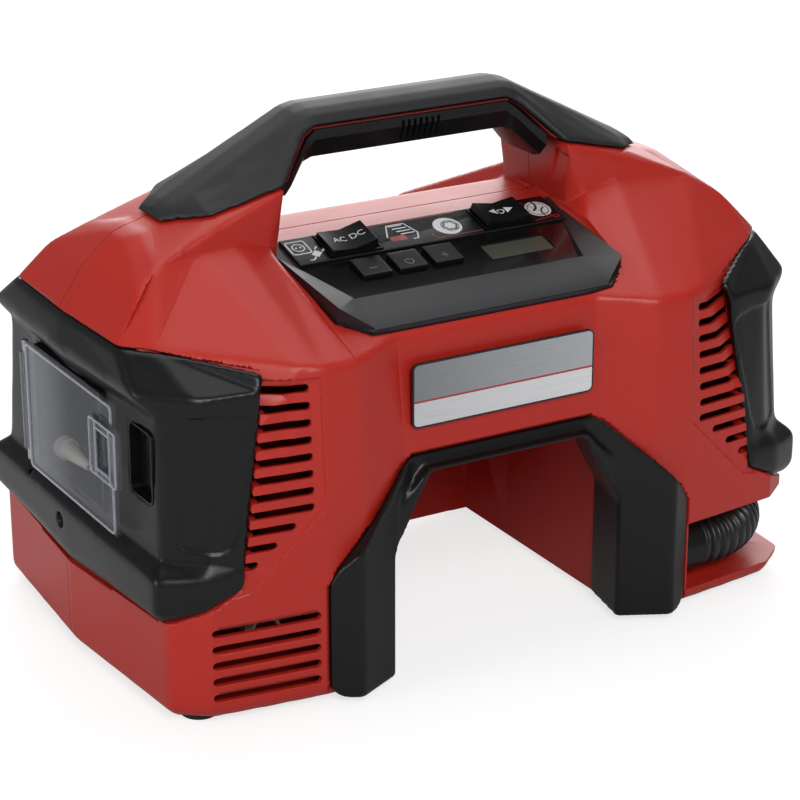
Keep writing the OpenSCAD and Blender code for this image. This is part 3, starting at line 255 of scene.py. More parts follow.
@dataclass(frozen=True)
class Clear:
    """A clear moulded polycarbonate sheet: smooth, with a painted reflection that fades.

    Seen at a low angle it turns into a pale mirror. A painted reflection, the milky sheen of the
    surroundings drawn as opacity in the pale tint, is strongest at the rear end of its span and
    weakest at the front end, both given along Y in millimetres.
    The moulding's flow marks, so many to a metre as flow says, darken the tint
    down to the factor dark and give a roughness within gloss.
    """

    name: str
    colour: str
    reflection_from: float
    reflection_to: float
    reflection_most: float = 0.30
    reflection_least: float = 0.0
    ior: float = 1.585
    flow: float = 45.0
    dark: float = 0.88
    gloss: Span = (0.03, 0.11)

    def material(self) -> bpy.types.Material:
        """Builds the material.

        Returns:
            The material.
        """
        material, tree, shader = new_material(self.name)
        where = add(tree, "ShaderNodeTexCoord").outputs["Object"]
        flow = add(tree, "ShaderNodeTexNoise", None, {
            "Vector": where, "Scale": self.flow, "Detail": 3.0, "Distortion": 0.6})
        base = linear(self.colour)
        tint = add(tree, "ShaderNodeMix", {"data_type": "RGBA"}, {
            "Factor": flow.outputs["Fac"], 6: scaled(base, self.dark), 7: base})
        tree.links.new(tint.outputs[2], shader.inputs["Base Color"])
        gloss = add(tree, "ShaderNodeMapRange", None, {
            "Value": flow.outputs["Fac"], "To Min": self.gloss[0], "To Max": self.gloss[1]})
        tree.links.new(gloss.outputs["Result"], shader.inputs["Roughness"])
        along = add(tree, "ShaderNodeSeparateXYZ", None, {0: where})
        # Painted reflection: the sheet turns more opaque in its pale tint towards the rear.
        painted_reflection = add(tree, "ShaderNodeMapRange", {"interpolation_type": "SMOOTHSTEP"}, {
            "Value": along.outputs["Y"], "From Min": self.reflection_from * MM,
            "From Max": self.reflection_to * MM, "To Min": self.reflection_least, "To Max": self.reflection_most})
        mirror = add(tree, "ShaderNodeFresnel", None, {"IOR": self.ior})
        # Only the near face mirrors: from inside, the sheet would look opaque.
        inside = add(tree, "ShaderNodeNewGeometry").outputs["Backfacing"]
        outside = add(tree, "ShaderNodeMath", {"operation": "SUBTRACT"}, {0: 1.0, 1: inside})
        opaque = add(tree, "ShaderNodeMath", {
            "operation": "MULTIPLY_ADD", "use_clamp": True}, {
            0: mirror.outputs[0], 1: outside.outputs[0], 2: painted_reflection.outputs["Result"]})
        tree.links.new(opaque.outputs[0], shader.inputs["Alpha"])
        shader.inputs["Specular IOR Level"].default_value = 1.0
        shader.inputs["Coat Weight"].default_value = 1.0
        shader.inputs["IOR"].default_value = self.ior
        return material


@dataclass(frozen=True)
class Foil:
    """A printed metallised foil, brushed along its length and shaded across it.

    The shade goes from left at -reach_mm to right at reach_mm. A brush mark is
    brush_mm wide and 1 / stretch times as long. It changes the colour by the
    factors of marks and gives a roughness within gloss.
    """

    name: str
    left: str
    right: str
    reach_mm: float = 50.0
    brush_mm: float = 0.5
    stretch: float = 0.03
    marks: Span = (0.93, 1.05)
    gloss: Span = (0.24, 0.38)

    def material(self) -> bpy.types.Material:
        """Builds the material.

        Returns:
            The material.
        """
        material, tree, shader = new_material(self.name)
        where = add(tree, "ShaderNodeTexCoord").outputs["Object"]
        along = add(tree, "ShaderNodeSeparateXYZ", None, {0: where})
        shade = add(tree, "ShaderNodeMapRange", None, {
            "Value": along.outputs["X"], "From Min": -self.reach_mm * MM,
            "From Max": self.reach_mm * MM})
        stretch = add(tree, "ShaderNodeVectorMath", {"operation": "MULTIPLY"}, {
            0: where, 1: (self.stretch, 1.0, 1.0)})
        brush = add(tree, "ShaderNodeTexNoise", None, {
            "Vector": stretch.outputs[0], "Scale": 1.0 / (self.brush_mm * MM), "Detail": 3.0})
        tint = add(tree, "ShaderNodeMix", {"data_type": "RGBA"}, {
            "Factor": shade.outputs["Result"], 6: linear(self.left), 7: linear(self.right)})
        grain = add(tree, "ShaderNodeMapRange", None, {
            "Value": brush.outputs["Fac"], "From Min": 0.3, "From Max": 0.7,
            "To Min": self.marks[0], "To Max": self.marks[1]})
        colour = add(tree, "ShaderNodeVectorMath", {"operation": "SCALE"}, {
            0: tint.outputs[2], "Scale": grain.outputs["Result"]})
        tree.links.new(colour.outputs["Vector"], shader.inputs["Base Color"])
        gloss = add(tree, "ShaderNodeMapRange", None, {
            "Value": brush.outputs["Fac"], "To Min": self.gloss[0], "To Max": self.gloss[1]})
        tree.links.new(gloss.outputs["Result"], shader.inputs["Roughness"])
        return material


@dataclass(frozen=True)
class Board:
    """An epoxy-glass circuit board: green resist in two shades, with tracks."""

    name: str
    colour: str
    second: str = "#1E5A33"
    track: str = "#3E8A4E"
    track_mm: float = 2.4
    cell: float = 4.0
    depth_mm: float = 0.1
    roughness: float = 0.38

    def material(self) -> bpy.types.Material:
        """Builds the material.

        Returns:
            The material.
        """
        material, tree, shader = new_material(self.name)
        where = add(tree, "ShaderNodeTexCoord").outputs["Object"]
        tracks = add(tree, "ShaderNodeTexBrick", {"offset": 0.5}, {
            "Vector": where, "Scale": 1.0 / (self.track_mm * MM * self.cell),
            "Mortar Size": 0.03, "Color1": linear(self.colour),
            "Color2": linear(self.second), "Mortar": linear(self.track)})
        tree.links.new(tracks.outputs["Color"], shader.inputs["Base Color"])
        bump = add(tree, "ShaderNodeBump", None, {
            "Height": tracks.outputs["Fac"], "Strength": 0.3,
            "Distance": self.depth_mm * MM})
        tree.links.new(bump.outputs["Normal"], shader.inputs["Normal"])
        shader.inputs["Roughness"].default_value = self.roughness
        return material


class Finishes:
    """Every material of the object, each built once."""

    def __init__(self) -> None:
        """Builds the materials."""
        # Moulded ABS: an even, satin red whose fine grain breaks up highlights.
        self.red = Moulded("red_moulded_ABS", "#B4251A", 0.40, 0.9, 0.10,
                           specular=0.45).material()
        # The same ABS seen only as a thin line under the handle's cover: rougher, and darker red
        # as painted shade from the cover.
        self.line = Moulded("red_moulded_ABS_painted_shade", "#7C211C", 0.55, 0.9, 0.1).material()
        # Glass-filled nylon: near black, satin, with a slightly coarser grain.
        self.black = Moulded("black_glass_filled_nylon", "#0C0D0F", 0.34, 1.0, 0.14,
                             specular=0.34).material()
        # Soft-touch TPE over the handle: charcoal and dull, so it reads as rubber.
        self.soft = Moulded("charcoal_soft_touch_TPE", "#1C1D20", 0.55, 1.1, 0.25).material()
        # Moulded ABS of the panel's apron: dark grey and satin.
        self.apron = Moulded("dark_grey_moulded_ABS", "#1F2124", 0.40, 1.0, 0.16).material()
        # Hard-coated polycarbonate overlay: black, with clear mirror-like gloss.
        self.deck = Moulded("gloss_black_polycarbonate", "#0A0B0C", 0.16, 2.0, 0.02,
                            coat=0.5).material()
        # Moulded ABS of the keys and rockers: black, smoother than the frames.
        self.key = Moulded("black_polished_ABS", "#0E0F11", 0.26, 1.2, 0.05).material()
        # Moulded ABS of the recess behind the door: black, plain and matt.
        self.liner = Moulded("matt_black_ABS", "#131417", 0.5, 6.0, 0.01).material()
        # Natural nylon: warm off-white and dull.
        self.white = Moulded("natural_nylon", "#D9D6CB", 0.45, 1.2, 0.1).material()
        # Extruded EVA: black, waxy, with soft highlights on each rib.
        self.hose = Moulded("black_extruded_EVA", "#17181A", 0.38, 1.4, 0.08).material()
        # Moulded TPE feet: black and matt.
        self.rubber = Moulded("black_moulded_TPE", "#151516", 0.7, 0.8, 0.3).material()
        # Screen inks on the panel and keys: flat, even and dull.
        self.ink_white = Moulded("white_screen_ink", "#D3D5D8", 0.4, 0.8, 0.05).material()
        self.ink_red = Moulded("red_screen_ink", "#A5303A", 0.4, 0.8, 0.05).material()
        self.ink_dim = Moulded("grey_screen_ink", "#5C5E62", 0.4, 0.8, 0.05).material()
        self.ink_black = Moulded("black_screen_ink", "#141517", 0.35, 0.8, 0.05).material()
        # Printed foil of the badge: brushed grey above, silver white below.
        self.foil_grey = Foil("grey_brushed_foil", "#7C7F84", "#A9ACB0").material()
        self.foil_white = Foil("silver_brushed_foil", "#C6C7CA", "#DADBDD").material()
        # Zinc-plated steel: cool grey with a soft mirror.
        self.steel = Metal("zinc_plated_steel", "#B9BCC0", 0.28).material()
        # Blackened steel: near black with a dull metal sheen, so it hides in the frames.
        self.blackened = Metal("blackened_steel", "#2B2C2F", 0.42).material()
        # Turned brass: warm yellow, bright.
        self.brass = Metal("turned_brass", "#D9A441", 0.24).material()
        # Cast aluminium: pale, dull grey.
        self.aluminium = Metal("cast_aluminium", "#C4C6C8", 0.42).material()
        # Clear polycarbonate of the door: a grey tint, sharp mirror lights and a painted milky
        # reflection that grows towards the rear.
        self.clear = Clear("clear_polycarbonate", "#666C7A", -8.0, 50.0, 0.40,
                           0.07).material()
        # The same sheet seen through its polished edges: a pale tint painted as the highlight of
        # the light they gather.
        self.edge = Clear("polycarbonate_edge_painted_highlight", "#B9BECB", -60.0, 52.0, 0.5,
                          0.32).material()
        # Reflective display behind its window: olive grey.
        self.display = Moulded("display_polariser", "#44463C", 0.22, 2.0, 0.02).material()
        # Epoxy-glass board: satin green resist, paler over the raised tracks.
        self.board = Board("epoxy_glass_board", "#17472A").material()


# ---- meshes --------------------------------------------------------------


def place(point: Point) -> Vector:
    """Turns a point of the source in millimetres into the model's metres."""
    return (Vector(point) + LIFT) * MM


def new_object(name: str, mesh: bpy.types.ID) -> bpy.types.Object:
    """Puts a mesh or a text curve into the scene.

    Args:
        name: The new object's name.
        mesh: Its mesh or curve.

    Returns:
        The new object.
    """
    piece = bpy.data.objects.new(name, mesh)
    bpy.context.collection.objects.link(piece)
    return piece


def mesh_of(name: str, points: list, faces: list) -> bpy.types.Mesh:
    """Makes a mesh with its normals outwards.

    Args:
        name: The mesh's name.
        points: Its points in metres.
        faces: The points of each face, by number.

    Returns:
        The mesh.
    """
    mesh = bpy.data.meshes.new(name)
    mesh.from_pydata([tuple(p) for p in points], [], faces)
    work = bmesh.new()
    work.from_mesh(mesh)
    bmesh.ops.remove_doubles(work, verts=work.verts, dist=WELD)
    bmesh.ops.recalc_face_normals(work, faces=work.faces)
    work.to_mesh(mesh)
    work.free()
    return mesh


def object_from(work: bmesh.types.BMesh, name: str) -> bpy.types.Object:
    """Makes an object from a mesh under work, and ends the work.

    Args:
        work: The mesh under work.
        name: The object's name.

    Returns:
        The object.
    """
    mesh = bpy.data.meshes.new(name)
    work.to_mesh(mesh)
    work.free()
    return new_object(name, mesh)


def solid_copy(node: str, name: str, flat: bool = False) -> bpy.types.Object:
    """Copies a CAD node with its triangles merged into one skin.

    Args:
        node: The CAD node's name.
        name: The copy's name.
        flat: Joins the triangles of each flat face too.

    Returns:
        The copy.
    """
    work = bmesh.new()
    work.from_mesh(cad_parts[node].data)
    bmesh.ops.remove_doubles(work, verts=work.verts, dist=NODE_WELD)
    if flat:
        bmesh.ops.dissolve_limit(work, angle_limit=math.radians(FLAT_ANGLE),
                                 verts=work.verts, edges=work.edges)
    return object_from(work, name)


def modify(piece: bpy.types.Object, kind: str, **settings: object) -> bpy.types.Modifier:
    """Adds a modifier with its settings.

    Args:
        piece: The piece.
        kind: The modifier's type name.
        settings: Values for the modifier's properties.

    Returns:
        The modifier.
    """
    modifier = piece.modifiers.new(kind.lower(), kind)
    for key, value in settings.items():
        setattr(modifier, key, value)
    return modifier


def evaluated_mesh(piece: bpy.types.Object) -> bpy.types.Mesh:
    """Plain mesh of a piece as its modifiers make it."""
    graph = bpy.context.evaluated_depsgraph_get()
    return bpy.data.meshes.new_from_object(piece.evaluated_get(graph))


def settle(piece: bpy.types.Object) -> bpy.types.Object:
    """Turns a piece's modifiers into its own mesh.

    Args:
        piece: The piece.

    Returns:
        The same piece.
    """
    mesh = evaluated_mesh(piece)
    piece.modifiers.clear()
    piece.data = mesh
    return piece


def finish(piece: bpy.types.Object, material: bpy.types.Material, body: str, slot: Slot,
           *nodes: str, angle: float | None = 40.0) -> bpy.types.Object:
    """Dresses a piece, gives it its body and reports it.

    Args:
        piece: The piece, in place.
        material: Its material.
        body: The body that carries it.
        slot: The record's slot for the piece; not used.
        nodes: The CAD nodes it stands for.
        angle: Edges sharper than this stay sharp, or None for all smooth.

    Returns:
        The piece.
    """
    piece.data.materials.clear()
    piece.data.materials.append(material)
    for face in piece.data.polygons:
        face.use_smooth = True
        face.material_index = 0
    if angle is not None:
        piece.data.set_sharp_from_angle(angle=math.radians(angle))
        modify(piece, "WEIGHTED_NORMAL", mode="FACE_AREA", weight=50, keep_sharp=True)
        settle(piece)
    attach(piece, body)
    if nodes:
        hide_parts(*nodes)
    LOG.info("%s: %d faces, on %s, for %s", piece.name, len(piece.data.polygons), body,
             ", ".join(nodes) or "no node")
    return piece


def rounded(node: str, name: str, width: float, segments: int = 3,
            angle: float = 25.0) -> bpy.types.Object:
    """Copies a CAD node and rounds its edges.

    Args:
        node: The CAD node's name.
        name: The copy's name.
        width: The rounding's width in millimetres.
        segments: The rounding's steps.
        angle: Edges sharper than this are rounded, in degrees.

    Returns:
        The rounded copy.
    """
    piece = solid_copy(node, name, flat=True)
    modify(piece, "BEVEL", width=width * MM, segments=segments, limit_method="ANGLE",
           angle_limit=math.radians(angle), use_clamp_overlap=True)
    return settle(piece)


def fillet(piece: bpy.types.Object, chosen: Callable[[bmesh.types.BMEdge], bool],
           width: float, segments: int, triangles: bool = False) -> bpy.types.Object:
    """Rounds only the chosen edges of a piece.

    Args:
        piece: The piece.
        chosen: Tells whether an edge is rounded.
        width: The rounding's width in millimetres.
        segments: The rounding's steps.
        triangles: Splits all faces into triangles afterwards.

    Returns:
        The same piece.
    """
    work = bmesh.new()
    work.from_mesh(piece.data)
    edges = [edge for edge in work.edges if chosen(edge)]
    bmesh.ops.bevel(work, geom=edges, offset=width * MM, segments=segments, profile=0.5,
                    affect="EDGES", clamp_overlap=True)
    if triangles:
        bmesh.ops.triangulate(work, faces=work.faces)
    work.to_mesh(piece.data)
    work.free()
    LOG.info("%s: %d edges rounded", piece.name, len(edges))
    return piece


def shrink(piece: bpy.types.Object, depth: float) -> bpy.types.Object:
    """Moves a piece's skin inwards by a depth in millimetres."""
    modify(piece, "DISPLACE", strength=-depth * MM, mid_level=0.0)
    return settle(piece)


def softened(piece: bpy.types.Object, voxel: float, rounds: int,
             inward: float = 0.0) -> bpy.types.Object:
    """Rounds a piece all over by remeshing and smoothing it.

    Args:
        piece: A closed piece.
        voxel: The remesh's cell in millimetres.
        rounds: How often it is smoothed.
        inward: How far its skin then moves inwards, in millimetres.

    Returns:
        The same piece.
    """
    modify(piece, "REMESH", mode="VOXEL", voxel_size=voxel * MM, adaptivity=0.0)
    modify(piece, "SMOOTH", factor=0.5, iterations=rounds)
    return shrink(piece, inward) if inward else settle(piece)


def combine(piece: bpy.types.Object, other: bpy.types.Object,
            operation: str) -> bpy.types.Object:
    """Cuts a piece with another, which stays.

    Args:
        piece: A closed piece.
        other: The closed piece that it is cut with.
        operation: INTERSECT or DIFFERENCE.

    Returns:
        The first piece.
    """
    modify(piece, "BOOLEAN", operation=operation, object=other, solver="MANIFOLD")
    return settle(piece)


def cut(piece: bpy.types.Object, *cutters: bpy.types.Object) -> bpy.types.Object:
    """Cuts cutters out of a piece and removes them.

    Args:
        piece: A closed piece.
        cutters: The closed cutters.

    Returns:
        The piece.
    """
    for cutter in cutters:
        combine(piece, cutter, "DIFFERENCE")
        discard(cutter)
    return piece


def prism(name: str, outline: Flat, low: float, high: float, matrix: Matrix) -> bpy.types.Object:
    """Builds an upright prism and places it.

    Args:
        name: The new object's name.
        outline: Its outline, in matrix's own lengths.
        low: The lower face's height.
        high: The upper face's height.
        matrix: From the outline's frame to the model's.

    Returns:
        The prism.
    """
    n = len(outline)
    points = [matrix @ Vector((x, y, z)) for z in (low, high) for x, y in outline]
    faces = [list(range(n))[::-1], list(range(n, 2 * n))]
    faces += [[i, (i + 1) % n, n + (i + 1) % n, n + i] for i in range(n)]
    return new_object(name, mesh_of(name, points, faces))


def rounded_box(x0: float, y0: float, x1: float, y1: float, radius: float,
                steps: int = 6) -> Flat:
    """Outline of a rectangle with round corners, counter-clockwise.

    Args:
        x0: Its left side.
        y0: Its lower side.
        x1: Its right side.
        y1: Its upper side.
        radius: The corners' radius.
        steps: The corners' steps.

    Returns:
        The outline.
    """
    outline = []
    for i, (x, y) in enumerate(((x1 - radius, y1 - radius), (x0 + radius, y1 - radius),
                                (x0 + radius, y0 + radius), (x1 - radius, y0 + radius))):
        for k in range(steps + 1):
            angle = math.pi / 2 * (i + k / steps)
            outline.append((x + radius * math.cos(angle), y + radius * math.sin(angle)))
    return outline


def upright(across: Point, out: Point, at: Point = (0.0, 0.0, 0.0)) -> Matrix:
    """Place of an upright drawing plane, whose Y points up, in the model.

    Args:
        across: Where the plane's X points.
        out: Where the plane's Z points.
        at: The plane's origin.

    Returns:
        The matrix from the plane's millimetres to the model.
    """
    turn = Matrix((across, (0.0, 0.0, 1.0), out)).transposed().to_4x4()
    return Matrix.Translation(place(at)) @ turn @ Matrix.Scale(MM, 4)


def left_face() -> Matrix:
    """Plane whose Z points out of the left end: X to the rear, Y up."""
    return upright((0.0, 1.0, 0.0), (-1.0, 0.0, 0.0))


def grow(tree: bpy.types.NodeTree, base: bpy.types.Object,
         values: dict[str, float]) -> bpy.types.Object:
    """Runs a geometry tree on a base object and keeps what it makes.

    Args:
        tree: The geometry tree.
        base: The object that gives the tree its points.
        values: Values for the tree's named inputs.

    Returns:
        The base object, with the tree's result as its mesh.
    """
    modifier = base.modifiers.new("grow", "NODES")
    modifier.node_group = tree
    for item in tree.interface.items_tree:
        if item.item_type == "SOCKET" and item.name in values:
            modifier[item.identifier] = values[item.name]
    return settle(base)


def new_tree(name: str, inputs: dict[str, float]) -> tuple[
        bpy.types.NodeTree, bpy.types.Node, bpy.types.Node]:
    """Starts a geometry tree with a geometry input and named sizes.

    Args:
        name: The tree's name.
        inputs: The named sizes and their defaults.

    Returns:
        The tree, its input node and its output node.
    """
    tree = bpy.data.node_groups.new(name, "GeometryNodeTree")
    tree.interface.new_socket("Geometry", in_out="INPUT", socket_type="NodeSocketGeometry")
    for key, value in inputs.items():
        socket = tree.interface.new_socket(key, in_out="INPUT", socket_type="NodeSocketFloat")
        socket.default_value = value
    tree.interface.new_socket("Geometry", in_out="OUTPUT", socket_type="NodeSocketGeometry")
    return tree, tree.nodes.new("NodeGroupInput"), tree.nodes.new("NodeGroupOutput")


def discard(*pieces: bpy.types.Object) -> None:
    """Removes helper objects."""
    for piece in pieces:
        bpy.data.objects.remove(piece, do_unlink=True)


# ---- housing -------------------------------------------------------------


@dataclass
class LatchPocket:
    """The finger pocket in the left guard, beside the door's latch."""

    front_y: float = -84.0
    rear_y: float = -59.5
    low: float = 104.5
    high: float = 140.5
    floor_x: float = -174.0
    mouth_x: float = -179.6
    outside_x: float = -200.0
    radius: float = 4.0
    wall: float = 0.8
    room: float = 1.0

    def outline(self, inset: float) -> Flat:
        """The pocket's outline, made smaller by inset."""
        return rounded_box(self.front_y + inset, self.low + inset, self.rear_y - inset,
                           self.high - inset, self.radius - inset)

    def cutter(self) -> bpy.types.Object:
        """Room for the pocket in the guard and the shell behind it."""
        return prism("pocket_room", self.outline(0), -self.floor_x - self.room,
                     -self.outside_x, left_face())

    def build(self, finishes: Finishes) -> None:
        """Builds the pocket's own walls.

        Args:
            finishes: The object's materials.
        """
        pocket = prism("latch_pocket", self.outline(0), -self.floor_x - self.wall,
                       -self.mouth_x, left_face())
        cut(pocket, prism("hollow", self.outline(self.wall), -self.floor_x, -self.outside_x,
                          left_face()))
        finish(pocket, finishes.black, "housing", Slot.BLACK)


@dataclass
class HousingShells:
    """The two red shells, which share one outline and meet at a seam."""

    half_length: float = 188.0
    half_depth: float = 117.5
    eave: float = 177.0
    face_half: float = 57.0
    face_set: float = 13.0
    band_half: float = 86.0
    panel_back: float = 83.0
    bay_half: float = 60.0
    bay_y: float = 52.0
    roof_rise: float = 19.0
    foot_set: float = 4.0
    skin_set: float = 0.2
    seam: float = 4.0
    seam_gap: float = 0.5
    seam_depth: float = 1.0
    seam_span: Span = (-20.0, 300.0)
    seam_past: float = 20.0
    cell: float = 2.0
    rounds: int = 6
    sharp: float = 32.0

    def foot_line(self, z: float) -> Ring:
        """Lists the front right quarter of the outline low on the walls.

        Args:
            z: The outline's height.

        Returns:
            Its points, from the middle of the front to the end.
        """
        x, y, band = self.half_length, self.half_depth, self.band_half
        return [(0, -(y - self.face_set), z), (self.face_half - 1, -(y - self.face_set), z),
                (band - 1, -(y - 0.8), z), (band + 18, -y, z), (x - 54, -(y - 3.5), z),
                (x - 24, -(y - 7.5), z), (x - 7, -(y - 20.5), z), (x, 0, z)]

    def eave_line(self) -> Ring:
        """Lists the front right quarter of the outline at the eave.

        Returns:
            Its points, from the middle of the front to the end.
        """
        x, y, z, band = self.half_length, self.half_depth, self.eave, self.band_half
        front = -(y - self.face_set - 6)
        return [(0, front, z - 5), (self.face_half, front, z - 5), (band, -(y - 4.5), z - 8),
                (band + 18, -(y - 4), z - 8), (band + 29, -(y - 7.5), z - 6.5),
                (x - 17, -(y - 44.5), z), (x - 4, -(y - 57.5), z), (x - 2, 0, z)]

    def roof_line(self) -> Ring:
        """Lists the front right quarter of the roof's upper edge.

        Returns:
            Its points, from the middle of the front to the end.
        """
        x, z, b = self.half_length, self.eave, self.panel_back
        return [(0, -14.6, z + 20.6), (b, -14.6, z + 20.6), (b + 9, -36, z + 27),
                (b + 28, -33, z + 34), (b + 47, -37, z + 32), (x - 34.4, -41.5, z + 28.8),
                (x - 20, -52, z + self.roof_rise), (x - 16, 0, z + self.roof_rise + 2)]

    def crest_line(self) -> Ring:
        """Lists the front right quarter of the crest under the handle.

        Returns:
            Its points, from the middle of the front to the end.
        """
        x, z, b = self.half_length, self.eave, self.panel_back
        return [(0, -2, z + 21), (b, -2, z + 21), (b + 9, -12, z + 30),
                (b + 28, -14, z + 39), (b + 47, -13, z + 39), (x - 40, -12, z + 37),
                (x - 32, -8, z + 34), (x - 30, 0, z + 33)]

    def rear_quarter(self, front: Ring, y: float, z: float, reach: float) -> Ring:
        """Rear right quarter that goes with a front one, round the battery bay.

        Args:
            front: The front quarter.
            y: Where the bay's front wall stands.
            z: The height of the points at the bay.
            reach: How much wider than the bay the quarter starts.

        Returns:
            The rear quarter, from the middle to the end.
        """
        inner = self.bay_half + reach
        return ([(0, y, z), (inner, y, z), (inner + 6, -front[2][1], front[2][2])]
                + [(p[0], -p[1], p[2]) for p in front[3:]])

    def ring(self, front: Ring, rear: Ring) -> Ring:
        """Joins two right quarters and their mirror images.

        Args:
            front: The front right quarter.
            rear: The rear right quarter.

        Returns:
            The whole outline, counter-clockwise from above.
        """
        left_rear = [(-p[0], p[1], p[2]) for p in rear]
        left_front = [(-p[0], p[1], p[2]) for p in front]
        return (front + rear[::-1][1:] + left_rear[1:] + left_front[::-1][1:-1])

    def rings(self) -> list[Ring]:
        """Lists the outlines from the foot to the crest.

        Returns:
            The outlines, all with the same number of points.
        """
        eave, roof, crest = self.eave_line(), self.roof_line(), self.crest_line()
        reach = self.panel_back - self.bay_half
        foot, low, high = self.foot_line(0), self.foot_line(5), self.foot_line(110)
        base = self.ring(foot, self.rear_quarter(foot, self.bay_y, 0, 0))
        return [self.inset(base, self.foot_set),
                self.ring(low, self.rear_quarter(low, self.bay_y, 5, 0)),
                self.ring(high, self.rear_quarter(high, self.bay_y, 110, 0)),
                self.ring(eave, self.rear_quarter(eave, self.bay_y - 2, self.eave - 5, 0)),
                self.ring(roof, self.rear_quarter(roof, 28, self.eave + 20.6, reach)),
                self.ring(crest, self.rear_quarter(crest, 26, self.eave + 21, reach))]

    def inset(self, ring: Ring, gap: float) -> Ring:
        """Moves a closed outline inwards.

        Args:
            ring: The outline.
            gap: How far each side moves.

        Returns:
            The smaller outline.
        """
        moved = []
        for i, point in enumerate(ring):
            normals = []
            for a, b in ((ring[i - 1], point), (point, ring[(i + 1) % len(ring)])):
                d = Vector((b[0] - a[0], b[1] - a[1])).normalized()
                normals.append(Vector((-d.y, d.x)))
            m = (normals[0] + normals[1]) / (1.0 + normals[0].dot(normals[1]))
            moved.append((point[0] + gap * m.x, point[1] + gap * m.y, point[2]))
        return moved

    def caps(self, count: int) -> list[list[int]]:
        """Triangles that close an outline between its front and its rear.

        Args:
            count: The outline's number of points, four times a quarter.

        Returns:
            The points of each triangle, by number.
        """
        last, half, quarter = count - 1, count // 2, count // 4
        faces = []
        for i in range(quarter - 1):
            j = (count - i) % count
            faces += [[i, i + 1, half - i], [i + 1, half - 1 - i, half - i],
                      [j, half + i, last - i], [last - i, half + i, half + 1 + i]]
        right, left = quarter, 3 * quarter
        return faces + [[right - 1, right, right + 1], [left + 1, left - 1, left]]

    def pillar_points(self) -> Ring:
        """Lists the corners of the right pillar that carries the handle.

        Returns:
            Its front corners, then their mirror images at the rear.
        """
        x, b = self.half_length, self.panel_back
        half = [(81, -34, 231), (121, -30, 221), (137, -13, 217), (x - 34.4, -41.5, 205.8),
                (b + 9, -36, 200), (84, -30, 196), (146, -4, 214)]
        return half + [(p[0], -p[1], p[2]) for p in half]

    def cage(self) -> bpy.types.Object:
        """Builds the closed outer form of both shells.

        Returns:
            The form, softly rounded all over.
        """
        rings = self.rings()
        count = len(rings[0])
        work = bmesh.new()
        skins = [[work.verts.new(place(p)) for p in ring] for ring in rings]
        for low, high in zip(skins, skins[1:]):
            for i in range(count):
                j = (i + 1) % count
                work.faces.new((low[i], high[j], low[j]))
                work.faces.new((low[i], high[i], high[j]))
        for face in self.caps(count):
            work.faces.new([skins[0][k] for k in face])
            work.faces.new([skins[-1][k] for k in reversed(face)])
        for side in (-1, 1):
            corners = [work.verts.new(place((side * p[0], p[1], p[2])))
                       for p in self.pillar_points()]
            bmesh.ops.convex_hull(work, input=corners)
        bmesh.ops.recalc_face_normals(work, faces=work.faces)
        return softened(object_from(work, "cage"), self.cell, self.rounds, self.skin_set)

    def groove(self, cage: bpy.types.Object) -> bpy.types.Object:
        """Builds a cutter for the shallow line that shows where the shells meet.

        Args:
            cage: The outer form of both shells.

        Returns:
            The cutter.
        """
        core = shrink(new_object("core", cage.data.copy()), self.seam_depth)
        half, (low, high) = self.seam_gap / 2, self.seam_span
        x = self.half_length + self.seam_past
        sheet = prism("seam", [(-x, low), (x, low), (x, high), (-x, high)], -half, half,
                      upright((1.0, 0.0, 0.0), (0.0, 1.0, 0.0), (0.0, self.seam, 0.0)))
        return cut(sheet, core)

    def build(self, finishes: Finishes) -> None:
        """Builds both shells.

        Args:
            finishes: The object's materials.
        """
        cage = self.cage()
        groove, pocket = self.groove(cage), LatchPocket().cutter()
        for node in ("front_housing", "rear_housing"):
            piece = solid_copy(node, "shell_" + node.split("_")[0])
            combine(piece, cage, "INTERSECT")
            combine(piece, groove, "DIFFERENCE")
            if node == "front_housing":
                combine(piece, pocket, "DIFFERENCE")
            finish(piece, finishes.red, "housing", Slot.RED, node, angle=self.sharp)
        discard(cage, groove, pocket)


